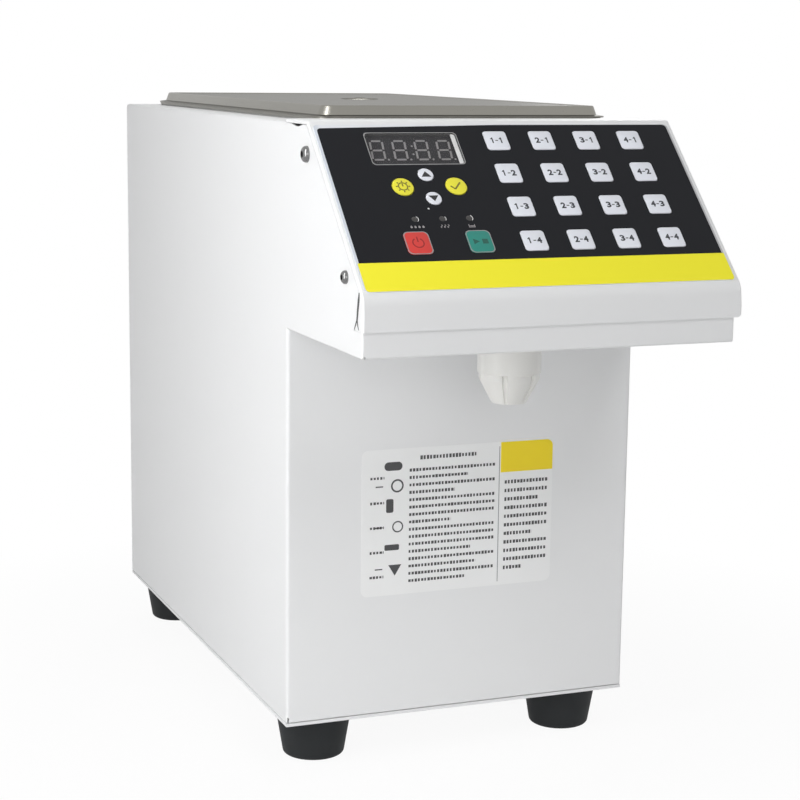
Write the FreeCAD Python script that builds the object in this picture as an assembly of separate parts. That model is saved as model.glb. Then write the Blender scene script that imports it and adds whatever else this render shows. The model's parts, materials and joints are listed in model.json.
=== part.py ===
"""Countertop fructose dispenser: a heated syrup hopper, a gear pump and a keypad head.

Millimetres, +Z up, the front faces -Y.  The origin is at the middle of the footprint, on the
surface that the feet stand on.
"""
import FreeCAD
import Part
import math
import os

V = FreeCAD.Vector
X_AXIS = V(1, 0, 0)
Y_AXIS = V(0, 1, 0)
Z_AXIS = V(0, 0, 1)

# ---------------------------------------------------------------- driving dimensions
BODY_W = 215.0            # casing, side to side
BODY_D = 360.0            # casing, front panel to rear panel
BODY_H = 340.0            # casing, underside to top
FOOT_H = 27.5
BASE_T = 2.5              # base plate
SHEET = 1.2               # casing sheet
HEAD_REACH = 118.0        # control head, ahead of the front panel
HEAD_H = 113.0            # control head, from the top of the casing down
REAR_FIT = 3.0            # mains inlet collar, behind the rear panel
SLOPE_SETBACK = 34.0      # from the front panel to where the slope meets the top
SLOPE_ANGLE = 45.5        # slope of the control panel, from the vertical

# casing
CASE_Z0 = FOOT_H + BASE_T
CASE_Z1 = CASE_Z0 + BODY_H
HALF_W = BODY_W / 2
FRONT_Y = -(HEAD_REACH + BODY_D + REAR_FIT) / 2 + HEAD_REACH
REAR_Y = FRONT_Y + BODY_D
REAR_SEAT_Y = REAR_Y - SHEET
CASE_EDGE_R = 2.0
LIP_W = 13.0              # inward lips that the rear panel and the base plate screw to

# hopper
TANK_Y = FRONT_Y + 175.5
TANK_HX = 81.5            # half sizes outside the collar
TANK_HY = 164.5
TANK_WALL = 1.0
TANK_DEPTH = 165.0
TANK_R = 7.0
FLANGE_HX = 88.5
FLANGE_R = 11.0
FLANGE_FRONT_Y = FRONT_Y + 3.7
FLANGE_REAR_Y = FRONT_Y + 347.3
FLANGE_T = 1.2
GASKET_T = 0.8
FLANGE_Z = CASE_Z1 + GASKET_T
COLLAR_H = 3.9
TANK_TOP = FLANGE_Z + FLANGE_T + COLLAR_H
TANK_FLOOR = CASE_Z1 - TANK_DEPTH
OUTLET_X = -62.0
OUTLET_Y = FRONT_Y + 68.5

# hopper lid
LID_Z0 = FLANGE_Z + FLANGE_T
LID_TOP = CASE_Z1 + 8.6
LID_HX = 83.2             # half sizes of the rim
LID_HY = 166.5
LID_R = 7.0
SKIRT_OUT = 1.7           # the skirt's lower edge, outside the rim
BRIM_OUT = 6.0
RIM_W = 2.2
RIM_ROLL = 0.6
LID_SINK = 0.5            # the top panel, under the rim
LID_SHEET = 0.8

# control head
HEAD_Z0 = CASE_Z1 - HEAD_H
HEAD_FRONT_Y = FRONT_Y - HEAD_REACH
STEP_Z = HEAD_Z0 + 13.5   # lower edge of the cover's front lip
COVER_BACK_Y = FRONT_Y + 2.0
COVER_TOP_Z = CASE_Z1 + SHEET + 0.5    # the cover's top strip hangs just clear of the casing
COVER_X1 = HALF_W + 0.8   # the cover is a little wide on the right
SLOPE_TOP = V(0, FRONT_Y - SLOPE_SETBACK, COVER_TOP_Z - 1.6)
SLOPE_RUN = math.sin(math.radians(SLOPE_ANGLE))
SLOPE_DROP = math.cos(math.radians(SLOPE_ANGLE))
TRAY_X0 = -HALF_W         # head tray: flush with the casing on the left
TRAY_X1 = HALF_W - 2.3    # and a little narrower than the cover on the right
TRAY_EDGE_R = 1.2
LIP_BEND_R = 9.0          # cover's bend from the slope to the front lip
TOP_BEND_R = 2.5          # cover's bend from the top strip to the slope
SIDE_BEND_R = 1.2         # cover's turned-down side edges
SIDE_DEPTH = 2.0
TAB_LINE = ((HEAD_FRONT_Y + 5.9, STEP_Z + 18.6), (HEAD_FRONT_Y + 8.1, STEP_Z + 8.3),
            (HEAD_FRONT_Y + 11.9, STEP_Z))    # rear edge of the cover's end tabs
TAB_GAP = 0.6
TAB_SPRING = 0.7          # the right end tab's lower edge stands out
TAB_CORNER_R = 3.0
CORNER_CUT_R = 0.9        # relief in the tray's lower corner and the casing's
SEAM = 0.15
FLANGE_DEPTH = 19.0       # the cover's inner side flanges
COVER_SCREWS = ((FRONT_Y - 32.7, CASE_Z0 + 324.2), (FRONT_Y - 93.5, CASE_Z0 + 265.8))
COVER_HOLES = (2.6, 2.2)
PRY_CHORD = 20.0          # curved relief in the cheeks' top edge
PRY_RISE = 1.5
WIRE_HOLE = (HEAD_Z0 + 60.0, HEAD_Z0 + 84.0)
HOSE_LEVEL = HEAD_Z0 + 43.0
HOSE_X = 92.0
HOSE_HOLE_R = 10.0

# control panel, measured across (x) and down the slope (s)
OVERLAY_HX = 105.4
OVERLAY_S0 = 1.2
OVERLAY_S1 = 114.0
OVERLAY_R = 2.5
OVERLAY_T = 0.5
KEY_PROUD = 0.3
KEY_DEEP = 1.9            # under the cover's outer face
KEY_GAP = 0.25
KEY_SIZE = 13.5
KEY_X0 = -3.2
KEY_PITCH_X = 27.1
KEY_S0 = 13.1
KEY_PITCH_S = 23.5
PAD_X = -51.4             # middle of the setting keys
PAD_S = 45.2
PAD_DX = 15.1
PAD_DS = 8.2
BIG_ROUND_R = 6.1
SMALL_ROUND_R = 4.4
POWER_X = -68.6
DISPENSE_X = -34.1
COMMAND_S = 83.4
COMMAND_W = 15.0
COMMAND_H = 15.5
DISPLAY_X = -52.4
DISPLAY_S = 18.4
DISPLAY_W = 52.0
DISPLAY_H = 21.7
LAMP_S = 67.4
LAMP_XS = (-66.0, -50.6, -35.5)
LAMP_HOLE_R = 2.3
BUZZER_X = -56.4
BUZZER_S = 60.4
BUZZER_R = 0.6
SWITCH_GAP = 0.6
BOARD_W = 6.75            # board face, under the cover's outer face
BOARD_T = 1.6
BOARD_STUDS = [(x, s) for x in (-91.0, 93.0) for s in (8.0, 102.0)]
DISPLAY_FACE = 2.5        # display and lamps, under the cover's outer face
LAMP_FACE = 0.6
LAMP_R = 1.9

# nozzle
NOZZLE_Y = FRONT_Y - 59.5
NOZZLE_R = 17.4
NOZZLE_Z0 = HEAD_Z0 - 36.7
NOZZLE_Z1 = HEAD_Z0 - 0.6
TAPER_Z = NOZZLE_Z0 + 13.3
SPOUT_R = 9.3
NECK_R = 14.0
NECK_Z0 = HEAD_Z0 - 17.0
CAP_STEP_Z = NECK_Z0 - 3.0
CAP_FLOOR = NECK_Z0 - 18.0
NOZZLE_AT = V(0, NOZZLE_Y, 0)
THREAD_GAP = 0.3
CONE_TOP_Z = NECK_Z0 + 10.0
CONE_BASE_R = 9.0
CONE_TOP_R = 5.0
FIN_PHASE = -119.0
FIN_T = 3.0
FIN_TOP_Z = TAPER_Z + 3.4  # the grip steps in between the fins below this
FIN_STEP = 0.7
SPRING_R = 5.3
SPRING_WIRE_R = 0.45
SPRING_TURNS = 6.0
SPRING_SEAT = 0.5         # flattened end coil
PLUG_SKIRT = 3.7

# feet
FOOT_X = 80.5
FOOT_YS = (FRONT_Y + 30.0, FRONT_Y + 333.0)
FOOT_TOP_R = 22.5
FOOT_BOTTOM_R = 17.9
FOOT_TREAD_R = 2.5
FOOT_SOCKET_R = 7.0
FOOT_SOCKET = 12.0        # depth of the recess for the foot's screw
FOOT_HOLE_R = 2.6

# label
LABEL_X = (-62.8, 57.2)
LABEL_Z = (CASE_Z0 + 69.8, CASE_Z0 + 155.5)
LABEL_T = 0.15

# pump
PUMP_Y = FRONT_Y + 62.5   # front face of the pump body
PUMP_Z = 105.0            # height of the ports, midway between the two gears
GEAR_PITCH_R = 10.0
GEAR_TIP_R = 11.5
GEAR_ROOT_R = 8.1
GEAR_TEETH = 10
GEAR_W = 11.6
GEAR_BORE_R = 12.0
CHAMBER_D = 12.0
PORT_R = 4.0
PORT_BORE_R = 2.5
INLET_R = 5.5
MOTOR_R = 28.0
MOTOR_L = 88.0
GEARBOX_L = 30.0
GEAR_Y = PUMP_Y + 0.2
DRIVE_Z = PUMP_Z - GEAR_PITCH_R
IDLER_Z = PUMP_Z + GEAR_PITCH_R
PUMP_BACK_Y = PUMP_Y + 20.0
PUMP_HX = 22.0
PUMP_HZ = 30.0
PORT_Y = PUMP_Y + 6.0
SHAFT_R = 4.0
PIN_R = 3.5
RUNNING_FIT = 0.06
BRACKET_T = 3.0
HOSE_BEND = 22.0
HOSE_WALL = 1.95

# rear
INLET_X = -62.0
INLET_Z = 72.0
SWITCH_X = -14.0
ROCKER_Y = REAR_Y - 4.5
ROCKER_TILT = 8.0
ROCKER_PIN_R = 1.5
REAR_SCREWS = [(side * (HALF_W - 7.5), CASE_Z0 + up) for side in (-1, 1) for up in (12, 170, 328)]
BASE_SCREWS = [(side * (HALF_W - 7.5), FRONT_Y + back) for side in (-1, 1) for back in (60, 180, 300)]
VENT_Z = CASE_Z0 + 96.0
VENT_PITCH = 9.0

# level switch
FLOAT_X = 52.0
FLOAT_Y = FRONT_Y + 262.0
FLOAT_R = 12.0
FLOAT_H = 18.0
FLOAT_TRAVEL = 25.0
FLOAT_REST = 8.0          # above the tank's floor
STEM_R = 3.8
STEM_H = 70.0


# ---------------------------------------------------------------- shape helpers
def box(x0, x1, y0, y1, z0, z1):
    return Part.makeBox(x1 - x0, y1 - y0, z1 - z0, V(x0, y0, z0))


def rod(radius, base, axis, length):
    return Part.makeCylinder(radius, length, base, axis)


def fuse(first, *others):
    return first.multiFuse(list(others)).removeSplitter()


def rounded_wire(hx, hy, radius, z, cx=0.0, cy=0.0):
    """Closed rounded rectangle in a level plane."""
    corners = ((hx, hy, 0), (-hx, hy, 90), (-hx, -hy, 180), (hx, -hy, 270))
    arcs = []
    for x, y, turn in corners:
        centre = V(cx + math.copysign(abs(x) - radius, x), cy + math.copysign(abs(y) - radius, y), z)
        marks = []
        for step in (0, 45, 90):
            a = math.radians(turn + step)
            marks.append(centre + V(radius * math.cos(a), radius * math.sin(a), 0))
        arcs.append(marks)
    edges = []
    for i, marks in enumerate(arcs):
        following = arcs[(i + 1) % 4]
        edges.append(Part.Arc(marks[0], marks[1], marks[2]).toShape())
        edges.append(Part.LineSegment(marks[2], following[0]).toShape())
    return Part.Wire(edges)


def rounded_slab(hx, hy, radius, z0, z1, cx=0.0, cy=0.0):
    """Upright block with rounded vertical edges."""
    face = Part.Face(rounded_wire(hx, hy, radius, z0, cx, cy))
    return face.extrude(V(0, 0, z1 - z0))


def side_prism(points, x0, x1):
    """Prism across the object from an outline of (y, z) points."""
    wire = Part.makePolygon([V(x0, y, z) for y, z in points + [points[0]]])
    return Part.Face(wire).extrude(V(x1 - x0, 0, 0))


def turned(profile, centre):
    """Solid turned about a vertical axis from an outline of (radius, height) points."""
    wire = Part.makePolygon([V(centre.x + r, centre.y, z) for r, z in profile + [profile[0]]])
    return Part.Face(wire).revolve(centre, Z_AXIS, 360)


def on_slope(shape):
    """Place a shape drawn flat (x across, y up the slope, z outwards) on the control panel."""
    placed = shape.copy()
    placed.Placement = FreeCAD.Placement(SLOPE_TOP, FreeCAD.Rotation(X_AXIS, 90 - SLOPE_ANGLE))
    return placed


def panel_slab(x, s, width, height, radius, w0, w1):
    return rounded_slab(width / 2, height / 2, radius, w0, w1, x, -s)


def panel_disc(x, s, radius, w0, w1):
    return rod(radius, V(x, -s, w0), Z_AXIS, w1 - w0)


def hose(points, bend, spigot_r):
    """Tube along straight runs joined by tangent arcs, that slips over a spigot at each end."""
    inner = spigot_r + 0.05
    outer = inner + HOSE_WALL
    edges = []
    start = points[0]
    for before, corner, after in zip(points, points[1:], points[2:]):
        back = (before - corner).normalize()
        ahead = (after - corner).normalize()
        setback = bend / math.tan(back.getAngle(ahead) / 2)
        entry = corner + back * setback
        leave = corner + ahead * setback
        half = (back + ahead).normalize()
        reach = math.hypot(setback, bend) - bend
        edges.append(Part.LineSegment(start, entry).toShape())
        edges.append(Part.Arc(entry, corner + half * reach, leave).toShape())
        start = leave
    edges.append(Part.LineSegment(start, points[-1]).toShape())
    path = Part.Wire(edges)
    along = points[1] - points[0]
    solids = []
    for radius in (outer, inner):
        ring = Part.Wire(Part.makeCircle(radius, points[0], along))
        solids.append(path.makePipeShell([ring], True, False))
    tube = solids[0].cut(solids[1])
    print("hose: bend", bend, "volume", round(tube.Volume), "section x length",
          round(math.pi * (outer ** 2 - inner ** 2) * path.Length))
    return tube


# ---------------------------------------------------------------- casing
def outer_shell():
    """Sides, front and top as one folded and welded sheet, with lips for the rear and the base."""
    lower = box(-HALF_W, HALF_W, FRONT_Y, REAR_SEAT_Y, CASE_Z0, HEAD_Z0)
    lower = lower.makeFillet(CASE_EDGE_R, [e for e in lower.Edges if is_front_fold(e)])
    upper = box(-HALF_W, HALF_W, FRONT_Y, REAR_SEAT_Y, HEAD_Z0, CASE_Z1)
    upper = upper.makeFillet(CASE_EDGE_R, [e for e in upper.Edges if is_top_fold(e)])
    shell = fuse(lower, upper)
    inner = HALF_W - SHEET
    shell = shell.cut(box(-inner, inner, FRONT_Y + SHEET, REAR_SEAT_Y - SHEET,
                          CASE_Z0 + SHEET, CASE_Z1 - SHEET))
    rear_gap = inner - LIP_W
    shell = shell.cut(box(-rear_gap, rear_gap, REAR_SEAT_Y - 2 * SHEET, REAR_SEAT_Y + SHEET,
                          CASE_Z0 + LIP_W, CASE_Z1 - LIP_W))
    shell = shell.cut(box(-rear_gap, rear_gap, FRONT_Y + SHEET + LIP_W, REAR_SEAT_Y - LIP_W,
                          CASE_Z0 - SHEET, CASE_Z0 + 2 * SHEET))
    shell = shell.cut(rounded_slab(TANK_HX + 1, TANK_HY + 1, TANK_R + 1, CASE_Z1 - 5, CASE_Z1 + 5,
                                   0, TANK_Y))
    shell = shell.cut(rod(HOSE_HOLE_R, V(HOSE_X, FRONT_Y - 1, HOSE_LEVEL), Y_AXIS, 5))
    shell = shell.cut(box(-35, 35, FRONT_Y - 1, FRONT_Y + 4, WIRE_HOLE[0], WIRE_HOLE[1]))
    shell = shell.cut(box(CORNER_CUT_R - HALF_W, 2 * CORNER_CUT_R - HALF_W, FRONT_Y - 1, FRONT_Y + 3,
                          CASE_Z0 - 1, CASE_Z0 + 3 * CORNER_CUT_R))
    for x, z in REAR_SCREWS:
        shell = shell.cut(rod(1.65, V(x, REAR_SEAT_Y - 4, z), Y_AXIS, 8))
    for x, y in BASE_SCREWS:
        shell = shell.cut(rod(1.65, V(x, y, CASE_Z0 - 2), Z_AXIS, 6))
    return shell


def is_front_fold(edge):
    """The upright front corners are bent; beside the head they are closed up to its cheeks."""
    mid = edge.CenterOfMass
    return abs(mid.y - FRONT_Y) < 0.1 and abs(abs(mid.x) - HALF_W) < 0.1


def is_top_fold(edge):
    """The top edges along the sides are bent too."""
    mid = edge.CenterOfMass
    return abs(mid.z - CASE_Z1) < 0.1 and abs(abs(mid.x) - HALF_W) < 0.1


def rear_panel():
    """Flat rear cover with air slots and cut-outs for the mains inlet and the switch."""
    panel = box(-HALF_W + 0.5, HALF_W - 0.5, REAR_SEAT_Y, REAR_Y, CASE_Z0 + 0.5, CASE_Z1 - 0.5)
    cuts = [box(INLET_X - 14, INLET_X + 14, REAR_SEAT_Y - 1, REAR_Y + 1, INLET_Z - 10.5, INLET_Z + 10.5),
            box(SWITCH_X - 9.2, SWITCH_X + 9.2, REAR_SEAT_Y - 1, REAR_Y + 1,
                INLET_Z - 13.6, INLET_Z + 13.6)]
    for row in range(8):
        z = VENT_Z + row * VENT_PITCH
        cuts.append(box(-45, 45, REAR_SEAT_Y - 1, REAR_Y + 1, z - 1.6, z + 1.6))
    for x, z in REAR_SCREWS:
        cuts.append(rod(2.1, V(x, REAR_SEAT_Y - 1, z), Y_AXIS, 4))
    return panel.cut(cuts[0]).cut(cuts[1:])


def base_plate():
    """Base plate; a shallow step round its top edge leaves the shadow line under the casing."""
    x = HALF_W - 0.2
    plate = box(-x, x, FRONT_Y + 0.2, REAR_Y - 0.2, FOOT_H, CASE_Z0)
    core = box(-x + 2.5, x - 2.5, FRONT_Y + 2.7, REAR_Y - 2.7, CASE_Z0 - 0.6, CASE_Z0 + 1)
    ring = box(-x - 1, x + 1, FRONT_Y - 1, REAR_Y + 1, CASE_Z0 - 0.6, CASE_Z0 + 1).cut(core)
    plate = plate.cut(ring)
    for px, py in BASE_SCREWS:
        plate = plate.cut(rod(2.1, V(px, py, FOOT_H - 1), Z_AXIS, 5))
    for fx in (-FOOT_X, FOOT_X):
        for fy in FOOT_YS:
            plate = plate.cut(rod(FOOT_HOLE_R, V(fx, fy, FOOT_H - 1), Z_AXIS, 5))
    return plate


def feet():
    """Four tapered rubber feet with a rounded tread and a recess for the screw."""
    made = []
    for x in (-FOOT_X, FOOT_X):
        for y in FOOT_YS:
            foot = Part.makeCone(FOOT_BOTTOM_R, FOOT_TOP_R, FOOT_H, V(x, y, 0))
            tread = [e for e in foot.Edges if e.BoundBox.ZMax < 0.1]
            foot = foot.makeFillet(FOOT_TREAD_R, tread)
            foot = foot.cut(rod(FOOT_SOCKET_R, V(x, y, -1), Z_AXIS, FOOT_SOCKET + 1))
            foot = foot.cut(rod(FOOT_HOLE_R, V(x, y, -1), Z_AXIS, FOOT_H + 2))
            made.append(foot)
    return Part.makeCompound(made)


def screw(base, axis, head_r, head_h, shank_r, shank_l):
    """Domed screw: the head stands on the surface at base, the shank goes the other way."""
    blank = Part.makeCylinder(head_r, head_h, base, axis)
    crown = [e for e in blank.Edges if abs((e.BoundBox.Center - base).dot(axis) - head_h) < 0.05]
    head = blank.makeFillet(head_h * 0.8, [e for e in crown if e.Length > head_r])
    hex_r = head_r * 0.42
    socket = Part.makeCylinder(hex_r, head_h * 0.6, base + axis * (head_h * 0.5), axis)
    return fuse(head.cut(socket), Part.makeCylinder(shank_r, shank_l, base, axis * -1))


def cover_screws():
    """Four domed screws through the cheeks into the flanges of the control cover."""
    sizes = ((4.45, 2.9, 2.4), (3.5, 2.5, 2.0))
    made = []
    for x, outwards in ((TRAY_X0, V(-1, 0, 0)), (TRAY_X1, X_AXIS)):
        for (y, z), (head_r, head_h, shank_r) in zip(COVER_SCREWS, sizes):
            made.append(screw(V(x, y, z), outwards, head_r, head_h, shank_r, 8))
    return Part.makeCompound(made)


def body_screws():
    """Screws of the rear panel, the base plate and the feet."""
    made = [screw(V(x, REAR_Y, z), Y_AXIS, 3.8, 2.2, 1.6, 6) for x, z in REAR_SCREWS]
    made += [screw(V(x, y, FOOT_H), Z_AXIS * -1, 3.8, 2.2, 1.6, 6) for x, y in BASE_SCREWS]
    for x in (-FOOT_X, FOOT_X):
        for y in FOOT_YS:
            made.append(screw(V(x, y, FOOT_SOCKET), Z_AXIS * -1, 4.6, 2.6, 2.4,
                              CASE_Z0 + 4 - FOOT_SOCKET))
    return Part.makeCompound(made)


# ---------------------------------------------------------------- control head
def slope_y(z, inset=0.0):
    """Y of the control cover's outer face, or of a plane that lies inset under it, at a height."""
    return SLOPE_TOP.y - (SLOPE_TOP.z - z) * SLOPE_RUN / SLOPE_DROP + inset / SLOPE_DROP


def slope_z(y, inset=0.0):
    """Height of the control cover's outer face, or of a plane that lies inset under it, at a y."""
    return SLOPE_TOP.z - (SLOPE_TOP.y - y) * SLOPE_DROP / SLOPE_RUN - inset / SLOPE_RUN


def head_profile(inset):
    """Side outline (y, z) of the head's top, slope and front lip, set in by a distance."""
    top = COVER_TOP_Z - inset
    front = HEAD_FRONT_Y + inset
    return [(COVER_BACK_Y, top), (slope_y(top, inset), top), (front, slope_z(front, inset)), (front, STEP_Z)]


def cheek_profile(gap):
    """Side outline (y, z) of what the cover's turned-down edge and end tab leave for a cheek."""
    inset = SIDE_DEPTH + gap
    top = COVER_TOP_Z - inset
    tab_top = TAB_LINE[0][1]
    line = [(slope_y(tab_top, inset), tab_top)]
    line += [(y + gap, z) for y, z in TAB_LINE[1:]]
    floor = [(TAB_LINE[2][0] + gap, STEP_Z - gap / 2), (HEAD_FRONT_Y - 1, STEP_Z - gap / 2),
             (HEAD_FRONT_Y - 1, HEAD_Z0 - 1), (COVER_BACK_Y + 1, HEAD_Z0 - 1)]
    return [(COVER_BACK_Y + 1, top), (slope_y(top, inset), top)] + line + floor


def head_housing():
    """Cheeks, floor and lower lip of the control head, as one folded tray."""
    lip_y = HEAD_FRONT_Y + SHEET
    lip_top = slope_z(lip_y, SHEET)
    nip = 3.6             # corner taken off under the cover's bend
    outline = [(FRONT_Y, HEAD_Z0), (lip_y, HEAD_Z0), (lip_y, lip_top - nip),
               (lip_y + nip * SLOPE_RUN, lip_top + nip * SLOPE_DROP),
               (slope_y(CASE_Z1 - 0.8, SHEET), CASE_Z1 - 0.8),
               (slope_y(CASE_Z1, SHEET) + 0.8, CASE_Z1), (FRONT_Y, CASE_Z1)]
    block = side_prism(outline, TRAY_X0, TRAY_X1)
    folds = []
    for edge in block.Edges:
        mid = edge.CenterOfMass
        at_side = min(abs(mid.x - TRAY_X0), abs(mid.x - TRAY_X1)) < 0.1
        at_front = abs(mid.y - lip_y) < 0.1
        at_floor = abs(mid.z - HEAD_Z0) < 0.1
        if at_side + at_front + at_floor == 2:
            folds.append(edge)
    block = block.makeFillet(TRAY_EDGE_R, folds)
    hollow = side_prism([(FRONT_Y + 1, HEAD_Z0 + SHEET), (lip_y + SHEET, HEAD_Z0 + SHEET),
                         (lip_y + SHEET, CASE_Z1 + 1), (FRONT_Y + 1, CASE_Z1 + 1)],
                        TRAY_X0 + SHEET, TRAY_X1 - SHEET)
    tray = block.cut(hollow)
    x0, x1 = TRAY_X0 - 1, TRAY_X0 + SHEET + SEAM
    surround = box(x0, x1, HEAD_FRONT_Y - 1, FRONT_Y, HEAD_Z0 - 0.5, CASE_Z1 + 1)
    tray = tray.cut(surround.cut(side_prism(cheek_profile(TAB_GAP / 2), x0, x1)))
    tray = tray.cut(rod(NECK_R + THREAD_GAP + 0.1, V(0, NOZZLE_Y, HEAD_Z0 - 1), Z_AXIS, 4))
    tray = tray.cut(rod(CORNER_CUT_R, V(TRAY_X0 + 1.5, HEAD_FRONT_Y, HEAD_Z0 + 0.6), Y_AXIS, 4))
    return tray.cut(screw_holes()).cut(cheek_reliefs())


def screw_holes():
    """Clearance holes of the cover's screws, right across the head."""
    return [rod(hole, V(-HALF_W - 2, y, z), X_AXIS, BODY_W + 4)
            for (y, z), hole in zip(COVER_SCREWS, COVER_HOLES)]


def cheek_reliefs():
    """Shallow curved relief in the top edge of each cheek, where the cover is pried off."""
    radius = (PRY_CHORD ** 2 / 4 + PRY_RISE ** 2) / (2 * PRY_RISE)
    edge_z = COVER_TOP_Z - SIDE_DEPTH
    centre = V(-HALF_W - 1, FRONT_Y - 6.0 - PRY_CHORD / 2, edge_z - PRY_RISE + radius)
    return rod(radius, centre, X_AXIS, BODY_W + 2)


def cover_sheet():
    """Top strip, slope and front lip of the cover, bent across, with its side edges turned down."""
    back = [(HEAD_FRONT_Y + LIP_BEND_R + SHEET, STEP_Z), (COVER_BACK_Y, CASE_Z1 - LIP_W)]
    solids = []
    for inset, overrun in ((0.0, 0.0), (SHEET, 1.0)):
        profile = head_profile(inset)
        corner, front = profile[1], profile[2]
        profile[0] = (profile[0][0] + overrun, profile[0][1])
        profile[3] = (profile[3][0], profile[3][1] - overrun)
        tail = [(y + 2 * overrun, z - 2 * overrun) for y, z in back]
        block = side_prism(profile + tail, -HALF_W + inset, COVER_X1 - inset)
        block = block.makeFillet(LIP_BEND_R - inset, [e for e in block.Edges if edge_at(e, *front)])
        block = block.makeFillet(TOP_BEND_R - inset, [e for e in block.Edges if edge_at(e, *corner)])
        solids.append(block)
    outer, inner = solids
    outer = outer.makeFillet(SIDE_BEND_R, [e for e in outer.Edges if is_cover_side(e)])
    sheet = fuse(outer.cut(inner), sprung_tab())
    corner_x = COVER_X1 + TAB_SPRING - TAB_CORNER_R
    corner = box(corner_x, HALF_W + 5, HEAD_FRONT_Y - 1, FRONT_Y, STEP_Z - 1, STEP_Z + TAB_CORNER_R)
    round_off = rod(TAB_CORNER_R, V(corner_x, HEAD_FRONT_Y - 1, STEP_Z + TAB_CORNER_R), Y_AXIS, HEAD_REACH)
    sheet = sheet.cut(corner.cut(round_off))
    for x0, x1 in ((-HALF_W - 1, -HALF_W + SHEET), (COVER_X1 - SHEET, COVER_X1 + 1)):
        sheet = sheet.cut(side_prism(cheek_profile(0.0), x0, x1))
    return sheet.cut(box(-HALF_W, COVER_X1, FRONT_Y - SEAM, COVER_BACK_Y + 1, HEAD_Z0, CASE_Z1))


def sprung_tab():
    """The right end tab of the front lip, which stands a little out of line at its lower edge."""
    inner = COVER_X1 - SHEET
    outline = [(inner, STEP_Z), (COVER_X1 + TAB_SPRING, STEP_Z), (COVER_X1 + TAB_SPRING, STEP_Z + 6),
               (COVER_X1, TAB_LINE[0][1] - 3), (inner, TAB_LINE[0][1] - 3)]
    wire = Part.makePolygon([V(x, HEAD_FRONT_Y, z) for x, z in outline + [outline[0]]])
    block = Part.Face(wire).extrude(V(0, 30, 0))
    block = block.makeFillet(SIDE_BEND_R, [e for e in block.Edges if e.BoundBox.YLength < 0.01
                                           and e.BoundBox.YMin < HEAD_FRONT_Y + 0.01
                                           and e.BoundBox.XMin > COVER_X1 - 0.01 and e.BoundBox.ZLength > 1])
    tab = [(HEAD_FRONT_Y - 1, STEP_Z - 1), (TAB_LINE[2][0], STEP_Z - 1)] + list(TAB_LINE[::-1])
    return block.common(side_prism(tab + [(HEAD_FRONT_Y - 1, TAB_LINE[0][1])], inner - 1, HALF_W + 5))


def edge_at(edge, y, z):
    """True for a straight edge across the object at a place in side view."""
    found = edge.BoundBox
    straight = found.YLength < 0.01 and found.ZLength < 0.01
    return straight and abs(found.YMin - y) < 0.01 and abs(found.ZMin - z) < 0.01


def is_cover_side(edge):
    """True for the outer side edges of the top strip, the slope, the lip and their bends."""
    found = edge.BoundBox
    if found.XLength > 0.01 or min(abs(found.XMin + HALF_W), abs(found.XMin - COVER_X1)) > 0.01:
        return False
    mid = edge.valueAt((edge.FirstParameter + edge.LastParameter) / 2)
    on_top = abs(mid.z - COVER_TOP_Z) < 0.01
    on_lip = abs(mid.y - HEAD_FRONT_Y) < 0.01
    return on_top or on_lip or mid.z > slope_z(mid.y) - LIP_BEND_R / 2 and mid.y < slope_y(CASE_Z1) + 1


def cover_flange(x0, x1):
    """Inner side flange of the cover, along the slope, that the cheek screws pull against."""
    return on_slope(box(x0, x1, -109.0, -2.0, -FLANGE_DEPTH, -SHEET / 2))


def panel_holes(w0, w1, grow):
    """Solids that cut the keys, the display and the lamps out of the overlay and the cover."""
    holes = []
    for name, x, s, width, height, radius in KEYS:
        holes.append(key_blank(x, s, width + 2 * grow, height + 2 * grow, radius, w0, w1))
    holes.append(panel_slab(DISPLAY_X, DISPLAY_S, DISPLAY_W, DISPLAY_H, 1.6, w0, w1))
    for x in LAMP_XS:
        holes.append(panel_disc(x, LAMP_S, LAMP_HOLE_R, w0, w1))
    holes.append(panel_disc(BUZZER_X, BUZZER_S, BUZZER_R, w0, w1))
    return Part.makeCompound([on_slope(h) for h in holes])


def control_cover():
    """Sloping cover of the head, with its inner flanges and four board studs."""
    parts = [cover_flange(TRAY_X0 + SHEET, TRAY_X0 + 2 * SHEET),
             cover_flange(TRAY_X1 - 2 * SHEET, TRAY_X1 - SHEET)]
    for x, s in BOARD_STUDS:
        parts.append(on_slope(panel_disc(x, s, 2.5, -BOARD_W, -SHEET / 2)))
    cover = fuse(cover_sheet(), *parts)
    cover = cover.cut(panel_holes(-SHEET - 2, 1, KEY_GAP))
    return cover.cut(screw_holes())


def keypad_overlay():
    """Printed polyester overlay stuck on the slope, with openings for the keys and lamps."""
    height = OVERLAY_S1 - OVERLAY_S0
    sheet = panel_slab(0, OVERLAY_S0 + height / 2, 2 * OVERLAY_HX, height, OVERLAY_R, 0, OVERLAY_T)
    return on_slope(sheet).cut(panel_holes(-1, 2, KEY_GAP))


def key_blank(x, s, width, height, radius, w0, w1):
    """Key body: a rounded block, or a disc where the key is round."""
    if radius >= min(width, height) / 2 - KEY_GAP:
        return panel_disc(x, s, width / 2, w0, w1)
    return panel_slab(x, s, width, height, radius, w0, w1)


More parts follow.
